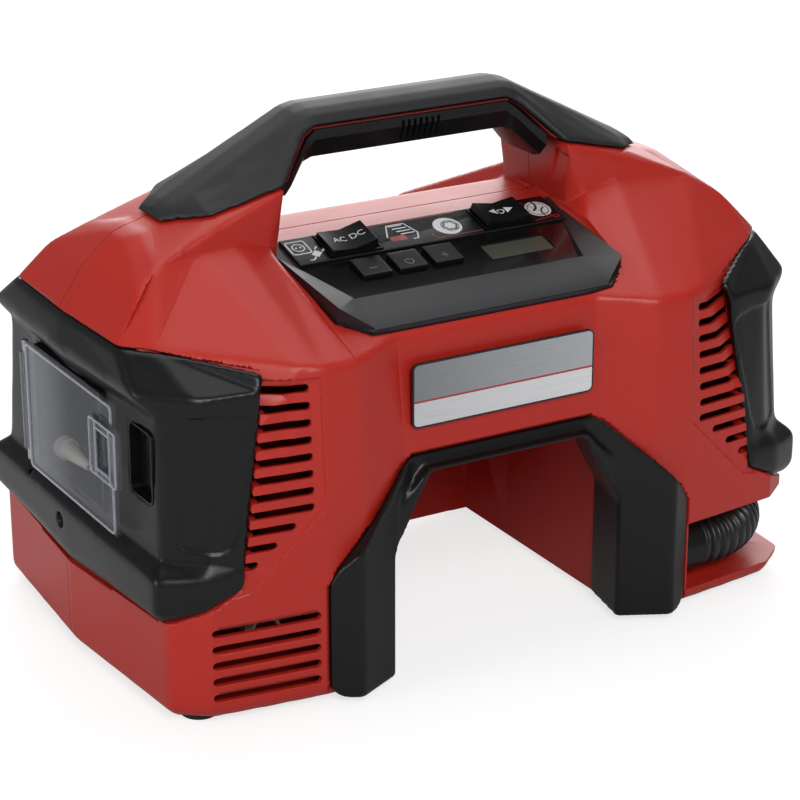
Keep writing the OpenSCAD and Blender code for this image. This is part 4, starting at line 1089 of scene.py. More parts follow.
@dataclass
class EndFrames:
    """The black guards round the two ends, with a set-in panel at the front corner."""

    half_length: float = 188.0
    half_depth: float = 117.5
    eave: float = 177.0
    rim: float = 46.0
    cell: float = 1.6
    rounds: int = 24
    back_set: float = 30.0
    back_part: float = 0.55
    valley: float = 5.0
    valley_angle: float = 14.0
    valley_length: float = 14.0
    valley_span: Span = (70.0, 156.0)
    valley_steps: int = 4
    set_in: float = 1.2
    slab_span: Span = (-130.0, -96.0)
    slab_cell: float = 0.9
    slab_rounds: int = 4
    soft_cell: float = 1.0
    soft_rounds: int = 3

    def levels(self) -> list[Ring]:
        """Lists the front half of the right guard's outer skin.

        Returns:
            One row of points for each level, from the rim up to the roof.
        """
        x, y, rim, z = self.half_length, self.half_depth, self.rim, self.eave
        return [[(x - 40, -(y - 4.2), rim + 20), (x - 22, -(y - 7.5), rim + 11),
                 (x - 6, -(y - 21.5), rim + 4), (x - 1, 0, rim)],
                [(x - 41, -(y - 4.2), rim + 24), (x - 21.6, -(y - 7.2), rim + 16),
                 (x - 0.5, -(y - 18.5), rim + 10), (x + 1.2, 0, rim + 6)],
                [(x - 41.5, -(y - 4.7), rim + 30), (x - 21.6, -(y - 7.2), rim + 28),
                 (x - 0.5, -(y - 18.5), rim + 28), (x + 1.5, 0, rim + 29.5)],
                [(x - 42, -(y - 5.5), rim + 36), (x - 26, -(y - 10.5), rim + 35),
                 (x - 8, -(y - 26.5), rim + 34), (x - 5, 0, rim + 34)],
                [(x - 53, -(y - 9), z - 25), (x - 28, -(y - 14.5), z - 28),
                 (x - 10, -(y - 31.5), z - 29), (x - 5.5, 0, z - 29)],
                [(x - 54, -(y - 9.5), z - 16), (x - 22, -(y - 15.5), z - 17),
                 (x, -(y - 34.5), z - 17), (x + 3, 0, z - 17)],
                [(x - 57, -(y - 11.5), z - 9), (x - 17, -(y - 44.5), z - 0.5),
                 (x - 4, -(y - 57.5), z), (x - 2.5, 0, z)]]

    def cage(self, side: int) -> bpy.types.Object:
        """Builds the closed form behind one guard's skin.

        Args:
            side: -1 for the left guard, 1 for the right one.

        Returns:
            The form, softly rounded all over.
        """
        work = bmesh.new()
        rows = []
        for level in self.levels():
            ring = level + [(p[0], -p[1], p[2]) for p in level[-2::-1]]
            outer = [work.verts.new(place((side * x, y, z))) for x, y, z in ring]
            inner = [work.verts.new(place((side * (x - self.back_set), y * self.back_part, z)))
                     for x, y, z in ring]
            rows.append(outer + inner[::-1])
        count = len(rows[0])
        for low, high in zip(rows, rows[1:]):
            for i in range(count):
                j = (i + 1) % count
                work.faces.new((low[i], low[j], high[j], high[i]))
        half = count // 2
        for row in (rows[0], rows[-1]):
            for i in range(half - 1):
                work.faces.new((row[i], row[i + 1], row[count - 2 - i], row[count - 1 - i]))
        bmesh.ops.triangulate(work, faces=work.faces)
        bmesh.ops.recalc_face_normals(work, faces=work.faces)
        return softened(object_from(work, "guard_cage"), self.cell, self.rounds)

    def in_valley(self, edge: bmesh.types.BMEdge) -> bool:
        """Tells whether an edge lies in one of the guard's long outer valleys.

        Args:
            edge: An edge of the guard.

        Returns:
            True in a valley.
        """
        low, high = self.valley_span
        return (len(edge.link_faces) == 2 and not edge.is_convex
                and edge.calc_face_angle() > math.radians(self.valley_angle)
                and edge.calc_length() > self.valley_length * MM
                and low * MM < edge.verts[0].co.z < high * MM
                and all(self.faces_out(face) for face in edge.link_faces))

    def faces_out(self, face: bmesh.types.BMFace) -> bool:
        """Tells whether a face looks away from the middle of the object."""
        middle = face.calc_center_median()
        return face.normal.x * middle.x + face.normal.y * middle.y > 0.0

    def inset(self, side: int) -> bpy.types.Object:
        """Builds a cutter for the set-in panel: a soft slab across the front facets.

        Args:
            side: -1 for the left guard, 1 for the right one.

        Returns:
            The cutter.
        """
        outline = [(136, 146), (139, 150), (150, 152), (172, 151), (177, 147), (178, 92),
                   (174, 86), (157, 84), (151, 87), (148, 94)]
        slab = prism("inset", outline, *self.slab_span,
                     upright((side, 0.0, 0.0), (0.0, 1.0, 0.0)))
        cut(slab, shrink(self.cage(side), self.set_in))
        return softened(slab, self.slab_cell, self.slab_rounds)

    def build(self, finishes: Finishes) -> None:
        """Builds both guards and the latch pocket.

        Args:
            finishes: The object's materials.
        """
        for side, sign in (("left", -1), ("right", 1)):
            node = f"{side}_end_frame"
            piece = fillet(solid_copy(node, f"guard_{side}", flat=True), self.in_valley,
                           self.valley, self.valley_steps, triangles=True)
            cage, cutter = self.cage(sign), self.inset(sign)
            combine(piece, cage, "INTERSECT")
            discard(cage)
            cut(piece, cutter)
            if side == "left":
                cut(piece, LatchPocket().cutter())
            softened(piece, self.soft_cell, self.soft_rounds)
            finish(piece, finishes.black, "housing", Slot.BLACK, node)
        LatchPocket().build(finishes)


@dataclass
class ArchTrim:
    """The black trim round the arch between the legs."""

    cell: float = 1.5
    rounds: int = 5
    foot: float = 9.0
    foot_steps: int = 6
    near: float = 0.5

    def build(self, finishes: Finishes) -> None:
        """Builds the trim, its outer foot corners rounded more than the rest.

        Args:
            finishes: The object's materials.
        """
        piece = solid_copy("front_arch_trim", "arch_trim", flat=True)
        low = min(vertex.co.z for vertex in piece.data.vertices)
        wide = max(vertex.co.x for vertex in piece.data.vertices)
        near = self.near * MM
        fillet(piece, lambda edge: all(
            abs(v.co.z - low) < near and abs(abs(v.co.x) - wide) < near
            for v in edge.verts), self.foot, self.foot_steps)
        softened(piece, self.cell, self.rounds)
        finish(piece, finishes.black, "housing", Slot.BLACK, "front_arch_trim")


# ---- handle --------------------------------------------------------------


@dataclass
class Handle:
    """The handle: a soft cover, a red core line and a hard grip."""

    cell: float = 1.3
    rounds: int = 6
    line_in: float = 0.8
    grip_edge: float = 0.8
    groove_count: int = 7
    groove_pitch: float = 3.4
    groove_width: float = 1.7
    groove_middle: float = 4.8

    def grooves(self) -> list[bpy.types.Object]:
        """Builds cutters for the finger grooves across both sides of the grip.

        Returns:
            The cutters.
        """
        across = upright((0.0, 1.0, 0.0), (1.0, 0.0, 0.0))
        half = self.groove_width / 2
        cutters = []
        for k in range(self.groove_count):
            x = self.groove_middle + self.groove_pitch * (k - (self.groove_count - 1) / 2)
            for side in (-1, 1):
                outline = [(side * 26, 250.6), (side * 15.2, 250.6), (side * 15.0, 247.6),
                           (side * 12.0, 240.5), (side * 12.8, 239.2), (side * 26, 239.2)]
                cutters.append(prism("groove", outline, x - half, x + half, across))
        return cutters

    def build(self, finishes: Finishes) -> None:
        """Builds the three layers.

        Args:
            finishes: The object's materials.
        """
        cover = softened(solid_copy("handle_cover", "handle_soft_cover"), self.cell,
                         self.rounds)
        finish(cover, finishes.soft, "housing", Slot.RUBBER, "handle_cover", angle=None)
        # The core's darker red is painted shade under the cover.
        core = shrink(solid_copy("handle_core", "handle_red_line"), self.line_in)
        finish(core, finishes.line, "housing", Slot.RED, "handle_core")
        grip = rounded("handle_grip", "handle_grip_shell", self.grip_edge)
        cut(grip, *self.grooves())
        finish(grip, finishes.black, "housing", Slot.BLACK, "handle_grip")


# ---- panel ---------------------------------------------------------------


@dataclass
class Artwork:
    """Flat printed shapes in one plane, in millimetres."""

    shapes: list[Flat] = field(default_factory=list)
    sides: int = 48
    arc_step: float = 8.0

    def disc(self, x: float, y: float, radius: float) -> None:
        """Adds a filled circle.

        Args:
            x: Its middle across.
            y: Its middle up.
            radius: Its radius.
        """
        turn = 2 * math.pi / self.sides
        self.shapes.append([(x + radius * math.cos(turn * i), y + radius * math.sin(turn * i))
                            for i in range(self.sides)])

    def line(self, points: Flat, width: float, closed: bool = False) -> None:
        """Adds a line of even width.

        Args:
            points: The points along it.
            width: Its width.
            closed: Joins its end to its start.
        """
        n = len(points)
        left, right = [], []
        for i, (x, y) in enumerate(points):
            before = points[i - 1] if i or closed else points[i]
            after = points[(i + 1) % n] if i < n - 1 or closed else points[i]
            d = Vector((after[0] - before[0], after[1] - before[1])).normalized()
            left.append((x - d.y * width / 2, y + d.x * width / 2))
            right.append((x + d.y * width / 2, y - d.x * width / 2))
        for i in range(n if closed else n - 1):
            j = (i + 1) % n
            self.shapes.append([right[i], right[j], left[j], left[i]])

    def ring(self, x: float, y: float, radius: float, width: float,
             start: float = 0.0, end: float = 360.0) -> None:
        """Adds an arc of even width.

        Args:
            x: Its middle across.
            y: Its middle up.
            radius: The radius of the line's middle.
            width: The line's width.
            start: The angle where it starts, in degrees.
            end: The angle where it ends, in degrees.
        """
        steps = max(6, int((end - start) / self.arc_step))
        angles = [math.radians(start + (end - start) * i / steps) for i in range(steps + 1)]
        self.line([(x + radius * math.cos(a), y + radius * math.sin(a)) for a in angles], width)

    def piece(self, name: str, height: float, matrix: Matrix) -> bpy.types.Object:
        """Makes one flat mesh of all shapes.

        Args:
            name: The new object's name.
            height: Its height over the plane.
            matrix: From the plane to the model.

        Returns:
            The flat object.
        """
        points, faces = [], []
        for shape in self.shapes:
            faces.append(list(range(len(points), len(points) + len(shape))))
            points += [matrix @ Vector((x, y, height)) for x, y in shape]
        mesh = bpy.data.meshes.new(name)
        mesh.from_pydata([tuple(p) for p in points], [], faces)
        return new_object(name, mesh)


def lettering(name: str, text: str, size: float, at: Spot,
              matrix: Matrix) -> bpy.types.Object:
    """Makes flat letters as a mesh, centred on a spot of matrix's plane.

    Args:
        name: The new object's name.
        text: The letters.
        size: Their height in the plane's lengths.
        at: The centre.
        matrix: From the plane to the model.

    Returns:
        The letters.
    """
    curve = bpy.data.curves.new(name, "FONT")
    curve.body = text
    curve.size = size
    curve.align_x = "CENTER"
    curve.align_y = "CENTER"
    holder = new_object(name, curve)
    mesh = evaluated_mesh(holder)
    discard(holder)
    mesh.transform(matrix @ Matrix.Translation((at[0], at[1], 0.0)))
    return new_object(name, mesh)


def lay(flat: bpy.types.Object, under: bpy.types.Object, matrix: Matrix,
        gap: float = 0.04, reach: float = 30.0) -> bpy.types.Object:
    """Drops a flat piece's corners onto the surface below it.

    Args:
        flat: The flat piece.
        under: The piece it is printed on.
        matrix: From the plane, whose Z points away from the surface, to the model.
        gap: Its distance from the surface, in the plane's lengths.
        reach: How far over the flat piece the surface may lie.

    Returns:
        The flat piece.
    """
    tree = BVHTree.FromObject(under, bpy.context.evaluated_depsgraph_get())
    down = (matrix.to_3x3() @ Vector((0, 0, -1))).normalized()
    scale = matrix.to_scale().x
    for vertex in flat.data.vertices:
        hit = tree.ray_cast(vertex.co - down * reach * scale, down)[0]
        if hit is not None:
            vertex.co = hit - down * gap * scale
    return flat


@dataclass
class ControlPanel:
    """The sloping panel with its apron, deck, switches, buttons and display."""

    origin_y: float = -96.0
    origin_z: float = 175.0
    tilt: float = math.atan2(22.6, 81.4)
    deck_y: float = 25.4
    deck_top: float = 59.8
    deck_low_half: float = 65.6
    deck_high_half: float = 76.2
    sheet: Span = (0.02, 0.3)
    legend_z: float = 1.6
    apron_edge: float = 1.2
    legend_edge: float = 0.5
    window_edge: float = 0.3
    print_gap: float = 0.03
    rocker_x: tuple[float, float] = (-43.0, 46.0)
    rocker_y: float = 72.5
    rocker_edge: float = 0.7
    button_x: tuple[float, float, float] = (-43.0, -22.5, -2.0)
    button_y: float = 48.5
    button_z: float = 2.8
    button_edge: float = 0.8
    button_hole: Box = (-8.5, 40.5, 8.5, 56.5, 0.6)
    window_hole: Box = (21.6, 38.6, 59.4, 52.4, 0.8)
    hole_span: Span = (-2.0, 3.0)
    sign_size: float = 5.6
    mark_y: float = -2.0
    mark_half: float = 2.2
    mark_width: float = 0.55
    bold: float = 0.8
    fine: float = 0.4
    wheel: Spot = (15.5, 71.6)
    ball: Spot = (69.0, 72.6)
    spoke_turn: float = 1.047

    def matrix(self) -> Matrix:
        """Place of the panel's own millimetre frame in the model."""
        place_it = Matrix.Translation(place((0, self.origin_y, self.origin_z)))
        return place_it @ Matrix.Rotation(self.tilt, 4, "X") @ Matrix.Scale(MM, 4)

    def overlay(self) -> bpy.types.Object:
        """Builds the thin glossy sheet on the deck.

        Returns:
            The sheet, cut out round the buttons and the display.
        """
        low, high, place_it = self.deck_y, self.deck_top, self.matrix()
        outline = [(-self.deck_low_half, low), (self.deck_low_half, low),
                   (self.deck_high_half, high), (-self.deck_high_half, high)]
        sheet = prism("deck_overlay", outline, *self.sheet, place_it)
        left, bottom, right, top, radius = self.button_hole
        holes = [(x + left, bottom, x + right, top, radius) for x in self.button_x]
        for hole in holes + [self.window_hole]:
            cut(sheet, prism("hole", rounded_box(*hole), *self.hole_span, place_it))
        return sheet

    def white_art(self) -> Artwork:
        """Draws the signs of the power sources and of the uses.

        Returns:
            The white print.
        """
        art = Artwork()
        # The wall socket.
        art.line(rounded_box(-74.6, 69.5, -64.4, 80.5, 1.4), self.bold, True)
        art.ring(-69.5, 75, 3.1, 0.7)
        art.disc(-70.7, 75, 0.6)
        art.disc(-68.3, 75, 0.6)
        # The plug, its two pins and its cord.
        art.line([(-64.6, 66.0), (-61.2, 69.4)], 4.0)
        art.line([(-62.2, 71.6), (-60.0, 73.8)], 0.9)
        art.line([(-59.4, 68.8), (-57.2, 71.0)], 0.9)
        art.ring(-67.8, 66.0, 3.0, self.bold, 250, 350)
        # The battery pack: its bars and its outline.
        for k in range(4):
            x, y = 1.1 * k, 79.4 - 2.6 * k
            art.line([(-16.5 + x, y), (-8.5 + x, y)], self.bold)
        art.line([(-21.5, 70.5), (-17.0, 80.4), (-7.2, 80.4), (-3.8, 71.0), (-6.0, 66.0),
                  (-9.0, 66.0)], self.bold)
        # The discs behind the wheel and the ball.
        art.disc(self.wheel[0] - 1.5, self.wheel[1], 7.6)
        art.disc(*self.ball, 7.0)
        return art

    def black_art(self) -> Artwork:
        """Draws the wheel and the ball on the white discs.

        Returns:
            The black print.
        """
        art = Artwork()
        x, y = self.wheel
        art.ring(x, y, 4.6, 0.6)
        for k in range(6):
            turn = k * self.spoke_turn
            art.ring(x + 2.1 * math.cos(turn), y + 2.1 * math.sin(turn), 1.6, 1.0,
                     60 * k - 60, 60 * k + 80)
        art.ring(*self.ball, 5.6, 0.5)
        art.ring(63.6, 77.0, 5.8, 1.3, -70, 25)
        art.ring(75.0, 68.0, 5.8, 0.9, 110, 215)
        return art

    def red_art(self) -> Artwork:
        """Draws the thin outlines that group the signs, and the battery pack's end.

        Returns:
            The red print.
        """
        art = Artwork()
        art.line([(-27.0, 82.4), (24.0, 82.4)], self.fine)
        art.line([(30.0, 63.0), (4.4, 63.0), (2.6, 64.4), (2.6, 67.6)], self.fine)
        corner = rounded_box(61.0, 62.6, 76.8, 82.6, 2.6)[-7:]
        art.line([(61.2, 82.6)] + corner + [(61.2, 62.6)], self.fine)
        art.disc(-18.6, 68.4, 2.2)
        art.line([(-18.6, 68.4), (-11.8, 68.4)], 4.2)
        return art

    def rockers(self, finishes: Finishes) -> None:
        """Builds the two rockers with their signs.

        Args:
            finishes: The object's materials.
        """
        place_it = self.matrix()
        for node, text, x in (("ac_dc_rocker", "AC DC", self.rocker_x[0]),
                              ("mode_rocker", "\u25C4O\u25BA", self.rocker_x[1])):
            cap = finish(rounded(node, f"cap_{node}", self.rocker_edge), finishes.key, node,
                         Slot.GLOSS, node)
            sign = lettering(f"sign_{node}", text, self.sign_size, (x, self.rocker_y),
                             place_it)
            finish(lay(sign, cap, place_it), finishes.ink_white, node, Slot.WHITE)

    def buttons(self, finishes: Finishes) -> None:
        """Builds the three buttons with their signs.

        Args:
            finishes: The object's materials.
        """
        half, y = self.mark_half, self.button_y + self.mark_y
        across, up = [(-half, 0), (half, 0)], [(0, -half), (0, half)]
        marks = {"minus_button": [across], "mode_button": [[(0, 0.4), (0, 2.4)]],
                 "plus_button": [across, up]}
        for (node, lines), x in zip(marks.items(), self.button_x):
            finish(rounded(node, f"cap_{node}", self.button_edge), finishes.key, node,
                   Slot.BLACK, node)
            art = Artwork()
            for points in lines:
                art.line([(x + px, y + py) for px, py in points], self.mark_width)
            if node == "mode_button":
                art.ring(x, y, half, self.mark_width, 125, 415)
            sign = art.piece(f"sign_{node}", self.button_z + self.print_gap,
                             self.matrix())
            finish(sign, finishes.ink_dim, node, Slot.WHITE)

    def build(self, finishes: Finishes) -> None:
        """Builds the panel's pieces.

        Args:
            finishes: The object's materials.
        """
        place_it, top = self.matrix(), self.legend_z
        panel = rounded("control_panel", "panel_apron", self.apron_edge)
        finish(panel, finishes.apron, "housing", Slot.GREY, "control_panel")
        finish(self.overlay(), finishes.deck, "housing", Slot.GLOSS)
        legend = rounded("legend_plate", "panel_legend", self.legend_edge)
        finish(legend, finishes.key, "housing", Slot.GLOSS, "legend_plate")
        for name, art, gap, ink, slot in (
                ("legend_white", self.white_art(), self.print_gap, finishes.ink_white,
                 Slot.WHITE),
                ("legend_red", self.red_art(), 0.05, finishes.ink_red, Slot.RED),
                ("legend_black", self.black_art(), 0.06, finishes.ink_black, Slot.BLACK)):
            finish(art.piece(name, top + gap, place_it), ink, "housing", slot)
        self.rockers(finishes)
        self.buttons(finishes)
        window = rounded("lcd_window", "display_window", self.window_edge)
        finish(window, finishes.display, "housing", Slot.DISPLAY, "lcd_window")


@dataclass
class Badge:
    """The bare two-tone badge on the front."""

    half: float = 52.0
    low: float = 125.0
    high: float = 158.0
    face: float = -105.1
    back: float = -103.8
    split: float = 138.4
    radius: float = 3.4
    border: float = 0.9
    line_half: float = 0.5
    print_depth: float = 0.3
    print_height: float = 0.06

    def build(self, finishes: Finishes) -> None:
        """Builds the carrier and the printed fields.

        Args:
            finishes: The object's materials.
        """
        place_it, face = upright((1.0, 0.0, 0.0), (0.0, -1.0, 0.0)), -self.face
        carrier = prism("badge_carrier", rounded_box(-self.half, self.low, self.half,
                        self.high, self.radius), -self.back, face, place_it)
        finish(carrier, finishes.key, "housing", Slot.BADGE, "badge_plate")
        half, r = self.half - self.border, self.radius - self.border
        whole = rounded_box(-half, self.low + self.border, half, self.high - self.border, r)
        under, over = self.split - self.line_half, self.split + self.line_half
        upper = [p for p in whole if p[1] > self.split] + [(-half, over), (half, over)]
        lower = [(half, under), (-half, under)] + [p for p in whole if p[1] < self.split]
        line = [(-half, under), (half, under), (half, over), (-half, over)]
        for name, outline, ink in (("badge_upper", upper, finishes.foil_grey),
                                   ("badge_lower", lower, finishes.foil_white),
                                   ("badge_line", line, finishes.ink_red)):
            printed = prism(name, outline, face - self.print_depth,
                            face + self.print_height, place_it)
            finish(printed, ink, "housing", Slot.BADGE)


# ---- accessory bay and hose ----------------------------------------------


@dataclass
class AccessoryBay:
    """The recess for the adapters behind a clear door."""

    door_x: float = -187.0
    front_y: float = -57.6
    rear_y: float = 45.0
    low: float = 81.6
    high: float = 147.4
    gap: float = 0.03
    rim_width: float = 1.1
    rim_height: float = 0.8
    rim_radii: Span = (3.0, 2.0)
    latch_out: float = 2.4
    latch_height: float = 0.7
    latch_room: Box = (-66.0, 106.0, -36.0, 139.0, 1.0)
    latch: Box = (-65.8, 108.2, -36.2, 136.8, 1.5)
    latch_fields: tuple[Box, ...] = (
        (-64.9, 109.1, -59.6, 135.9, 1.0), (-42.9, 109.1, -37.1, 135.9, 1.0),
        (-58.7, 112.5, -43.8, 132.5, 0.8), (-58.7, 109.1, -43.8, 111.6, 0.6),
        (-58.7, 133.4, -43.8, 135.9, 0.6))
    door_edge: float = 0.6
    tray_edge: float = 0.5
    below: float = 1.0
    above: float = 2.0

    def hole(self, box: Box, height: float) -> bpy.types.Object:
        """Cutter through whatever stands at a height over the left end's plane."""
        return prism("hole", rounded_box(*box), height - self.below, height + self.above,
                     left_face())

    def rim(self) -> bpy.types.Object:
        """Builds the raised edge round the door's outer face.

        Returns:
            The edge, with a gap for the latch.
        """
        outer, inner = self.rim_radii
        out, wide = -self.door_x, self.rim_width
        rim = prism("door_rim", rounded_box(self.front_y, self.low, self.rear_y, self.high,
                                            outer), out + self.gap, out + self.rim_height,
                    left_face())
        middle = (self.front_y + wide, self.low + wide, self.rear_y - wide, self.high - wide,
                  inner)
        return cut(rim, self.hole(middle, out), self.hole(self.latch_room, out))

    def latch_edges(self) -> bpy.types.Object:
        """Builds the polished edges of the latch and of its finger hole.

        Returns:
            The edges.
        """
        top = -self.door_x + self.latch_out
        edges = prism("latch_edges", rounded_box(*self.latch), top + self.gap,
                      top + self.latch_height, left_face())
        return cut(edges, *(self.hole(box, top) for box in self.latch_fields))

    def build(self, finishes: Finishes) -> None:
        """Builds the bay's pieces.

        Args:
            finishes: The object's materials.
        """
        door = rounded("accessory_door", "clear_door", self.door_edge)
        finish(door, finishes.clear, "door", Slot.CLEAR, "accessory_door")
        # The rim and the latch's edges are pale: painted highlight lines on the door.
        finish(self.rim(), finishes.edge, "door", Slot.CLEAR)
        finish(self.latch_edges(), finishes.edge, "door", Slot.CLEAR)
        tray = rounded("accessory_tray", "adapter_tray", self.tray_edge)
        finish(tray, finishes.liner, "housing", Slot.BLACK, "accessory_tray")


@dataclass
class Hose:
    """The corrugated hose, stored in the groove round the right end."""

    start: float = 108.0
    reach: float = 171.0
    half: float = 101.0
    height: float = 26.0
    bend: float = 45.0
    plain: float = 13.0
    pitch: float = 5.45
    outer: float = 13.5
    inner: float = 11.0
    bend_steps: int = 32
    straight: float = 4.0
    rings_per_rib: float = 10.0
    sides: int = 40
    cuff_edge: float = 0.8

    def path(self) -> bpy.types.Object:
        """Builds the polyline through the middle of the hose.

        Returns:
            The polyline, which the hose grows on.
        """
        side = self.half - self.bend
        middle = self.reach - self.bend
        points = [(self.start, -self.half), (middle - self.straight, -self.half)]
        for first, y in ((-90, -side), (0, side)):
            for k in range(self.bend_steps + 1):
                a = math.radians(first + 90 * k / self.bend_steps)
                points.append((middle + self.bend * math.cos(a), y + self.bend * math.sin(a)))
        points += [(middle - self.straight, self.half), (self.start, self.half)]
        mesh = bpy.data.meshes.new("hose_path")
        mesh.from_pydata([tuple(place((x, y, self.height))) for x, y in points],
                         [(i, i + 1) for i in range(len(points) - 1)], [])
        return new_object("hose", mesh)

    def sizes(self) -> dict[str, float]:
        """The tree's named sizes, in metres."""
        return {"Pitch": self.pitch * MM, "Outer radius": self.outer * MM,
                "Inner radius": self.inner * MM, "Plain end": self.plain * MM}

    def tree(self, material: bpy.types.Material) -> bpy.types.NodeTree:
        """Builds the geometry tree that sweeps a ribbed skin along the path.

        Args:
            material: The hose's material.

        Returns:
            The tree.
        """
        tree, start, end = new_tree("ribbed_hose", self.sizes())
        curve = add(tree, "GeometryNodeMeshToCurve", None, {0: start.outputs["Geometry"]})
        step = add(tree, "ShaderNodeMath", {"operation": "DIVIDE"}, {
            0: start.outputs["Pitch"], 1: self.rings_per_rib})
        fine = add(tree, "GeometryNodeResampleCurve", {"mode": "LENGTH"}, {
            "Curve": curve.outputs[0], "Length": step.outputs[0]})
        along = add(tree, "GeometryNodeSplineParameter")
        whole = add(tree, "GeometryNodeSplineLength")
        left = add(tree, "ShaderNodeMath", {"operation": "SUBTRACT"}, {
            0: whole.outputs["Length"], 1: along.outputs["Length"]})
        nearest = add(tree, "ShaderNodeMath", {"operation": "MINIMUM"}, {
            0: along.outputs["Length"], 1: left.outputs[0]})
        ribbed = add(tree, "ShaderNodeMath", {"operation": "GREATER_THAN"}, {
            0: nearest.outputs[0], 1: start.outputs["Plain end"]})
        middle = add(tree, "ShaderNodeMath", {"operation": "MULTIPLY"}, {
            0: whole.outputs["Length"], 1: 0.5})
        centred = add(tree, "ShaderNodeMath", {"operation": "SUBTRACT"}, {
            0: along.outputs["Length"], 1: middle.outputs[0]})
        turns = add(tree, "ShaderNodeMath", {"operation": "DIVIDE"}, {
            0: centred.outputs[0], 1: start.outputs["Pitch"]})
        angle = add(tree, "ShaderNodeMath", {"operation": "MULTIPLY"}, {
            0: turns.outputs[0], 1: 2.0 * math.pi})
        wave = add(tree, "ShaderNodeMath", {"operation": "COSINE"}, {0: angle.outputs[0]})
        lobe = add(tree, "ShaderNodeMapRange", {"interpolation_type": "SMOOTHSTEP"}, {
            "Value": wave.outputs[0], "From Min": -0.9, "From Max": 0.35})
        height = add(tree, "ShaderNodeMath", {"operation": "MULTIPLY"}, {
            0: lobe.outputs["Result"], 1: ribbed.outputs[0]})
        radius = add(tree, "ShaderNodeMapRange", None, {
            "Value": height.outputs[0], "To Min": start.outputs["Inner radius"],
            "To Max": start.outputs["Outer radius"]})
        ring = add(tree, "GeometryNodeCurvePrimitiveCircle", None, {
            "Resolution": self.sides, "Radius": 1.0})
        skin = add(tree, "GeometryNodeCurveToMesh", None, {
            "Curve": fine.outputs[0], "Profile Curve": ring.outputs[0],
            "Scale": radius.outputs["Result"]})
        real = add(tree, "GeometryNodeRealizeInstances", None, {0: skin.outputs[0]})
        dressed = add(tree, "GeometryNodeSetMaterial", None, {
            "Geometry": real.outputs[0], "Material": material})
        tree.links.new(dressed.outputs[0], end.inputs[0])
        return tree

    def build(self, finishes: Finishes) -> None:
        """Builds the hose and its cuffs.

        Args:
            finishes: The object's materials.
        """
        hose = grow(self.tree(finishes.hose), self.path(), self.sizes())
        finish(hose, finishes.hose, "housing", Slot.HOSE, "corrugated_hose", angle=None)
        cuffs = rounded("hose_cuffs", "hose_end_cuffs", self.cuff_edge)
        finish(cuffs, finishes.black, "housing", Slot.BLACK, "hose_cuffs")


@dataclass
class FrameScrews:
    """Cross-recess screws that hold the two end frames."""

    x: float = 187.8
    y: float = 7.0
    z: float = 66.0
    head: float = 3.4
    depth: float = 1.3
    slot: float = 0.9
    sunk: float = 0.1
    sides: int = 40
    recess: float = 0.55
    sharp: float = 30.0

    def points(self) -> bpy.types.Object:
        """Builds one point per screw, with the way its head looks.

        Returns:
            The points, which the heads grow on.
        """
        mesh = bpy.data.meshes.new("screw_points")
        spots = [(side * (self.x - self.depth / 2 - self.sunk), self.y, self.z)
                 for side in (-1, 1)]
        mesh.from_pydata([tuple(place(p)) for p in spots], [], [])
        way = mesh.attributes.new("way", "FLOAT_VECTOR", "POINT")
        for item, side in zip(way.data, (-1, 1)):
            item.vector = (side, 0, 0)
        return new_object("frame_screw_heads", mesh)

    def sizes(self) -> dict[str, float]:
        """The tree's named sizes, in metres."""
        return {"Head radius": self.head * MM, "Head depth": self.depth * MM,
                "Slot width": self.slot * MM}

    def tree(self, material: bpy.types.Material) -> bpy.types.NodeTree:
        """Builds the geometry tree that sets one recessed head on every point.

        Args:
            material: The heads' material.

        Returns:
            The tree.
        """
        tree, start, end = new_tree("screw_heads", self.sizes())
        head = add(tree, "GeometryNodeMeshCylinder", None, {
            "Vertices": self.sides, "Radius": start.outputs["Head radius"],
            "Depth": start.outputs["Head depth"]})
        bars = []
        for axis in (0, 1):
            size = add(tree, "ShaderNodeCombineXYZ", None, {
                axis: start.outputs["Head radius"], 1 - axis: start.outputs["Slot width"],
                2: start.outputs["Head depth"]})
            cube = add(tree, "GeometryNodeMeshCube", None, {"Size": size.outputs[0]})
            lift = add(tree, "ShaderNodeCombineXYZ", None, {2: start.outputs["Head depth"]})
            half = add(tree, "ShaderNodeVectorMath", {"operation": "SCALE"}, {
                0: lift.outputs[0], "Scale": self.recess})
            bars.append(add(tree, "GeometryNodeTransform", None, {
                "Geometry": cube.outputs[0], "Translation": half.outputs[0]}))
        cut = add(tree, "GeometryNodeMeshBoolean", {"operation": "DIFFERENCE"}, {
            "Mesh 1": head.outputs["Mesh"]})
        for bar in bars:
            tree.links.new(bar.outputs[0], cut.inputs["Mesh 2"])
        way = add(tree, "GeometryNodeInputNamedAttribute", {"data_type": "FLOAT_VECTOR"}, {
            "Name": "way"})
        turn = add(tree, "FunctionNodeAlignRotationToVector", {"axis": "Z"}, {
            "Vector": way.outputs[0]})
        heads = add(tree, "GeometryNodeInstanceOnPoints", None, {
            "Points": start.outputs["Geometry"], "Instance": cut.outputs["Mesh"],
            "Rotation": turn.outputs[0]})
        real = add(tree, "GeometryNodeRealizeInstances", None, {0: heads.outputs[0]})
        dressed = add(tree, "GeometryNodeSetMaterial", None, {
            "Geometry": real.outputs[0], "Material": material})
        tree.links.new(dressed.outputs[0], end.inputs[0])
        return tree

    def build(self, finishes: Finishes) -> None:
        """Builds the heads.

        Args:
            finishes: The object's materials.
        """
        heads = grow(self.tree(finishes.blackened), self.points(), self.sizes())
        finish(heads, finishes.blackened, "housing", Slot.STEEL, "frame_screws",
               angle=self.sharp)


# ---- inner parts ---------------------------------------------------------


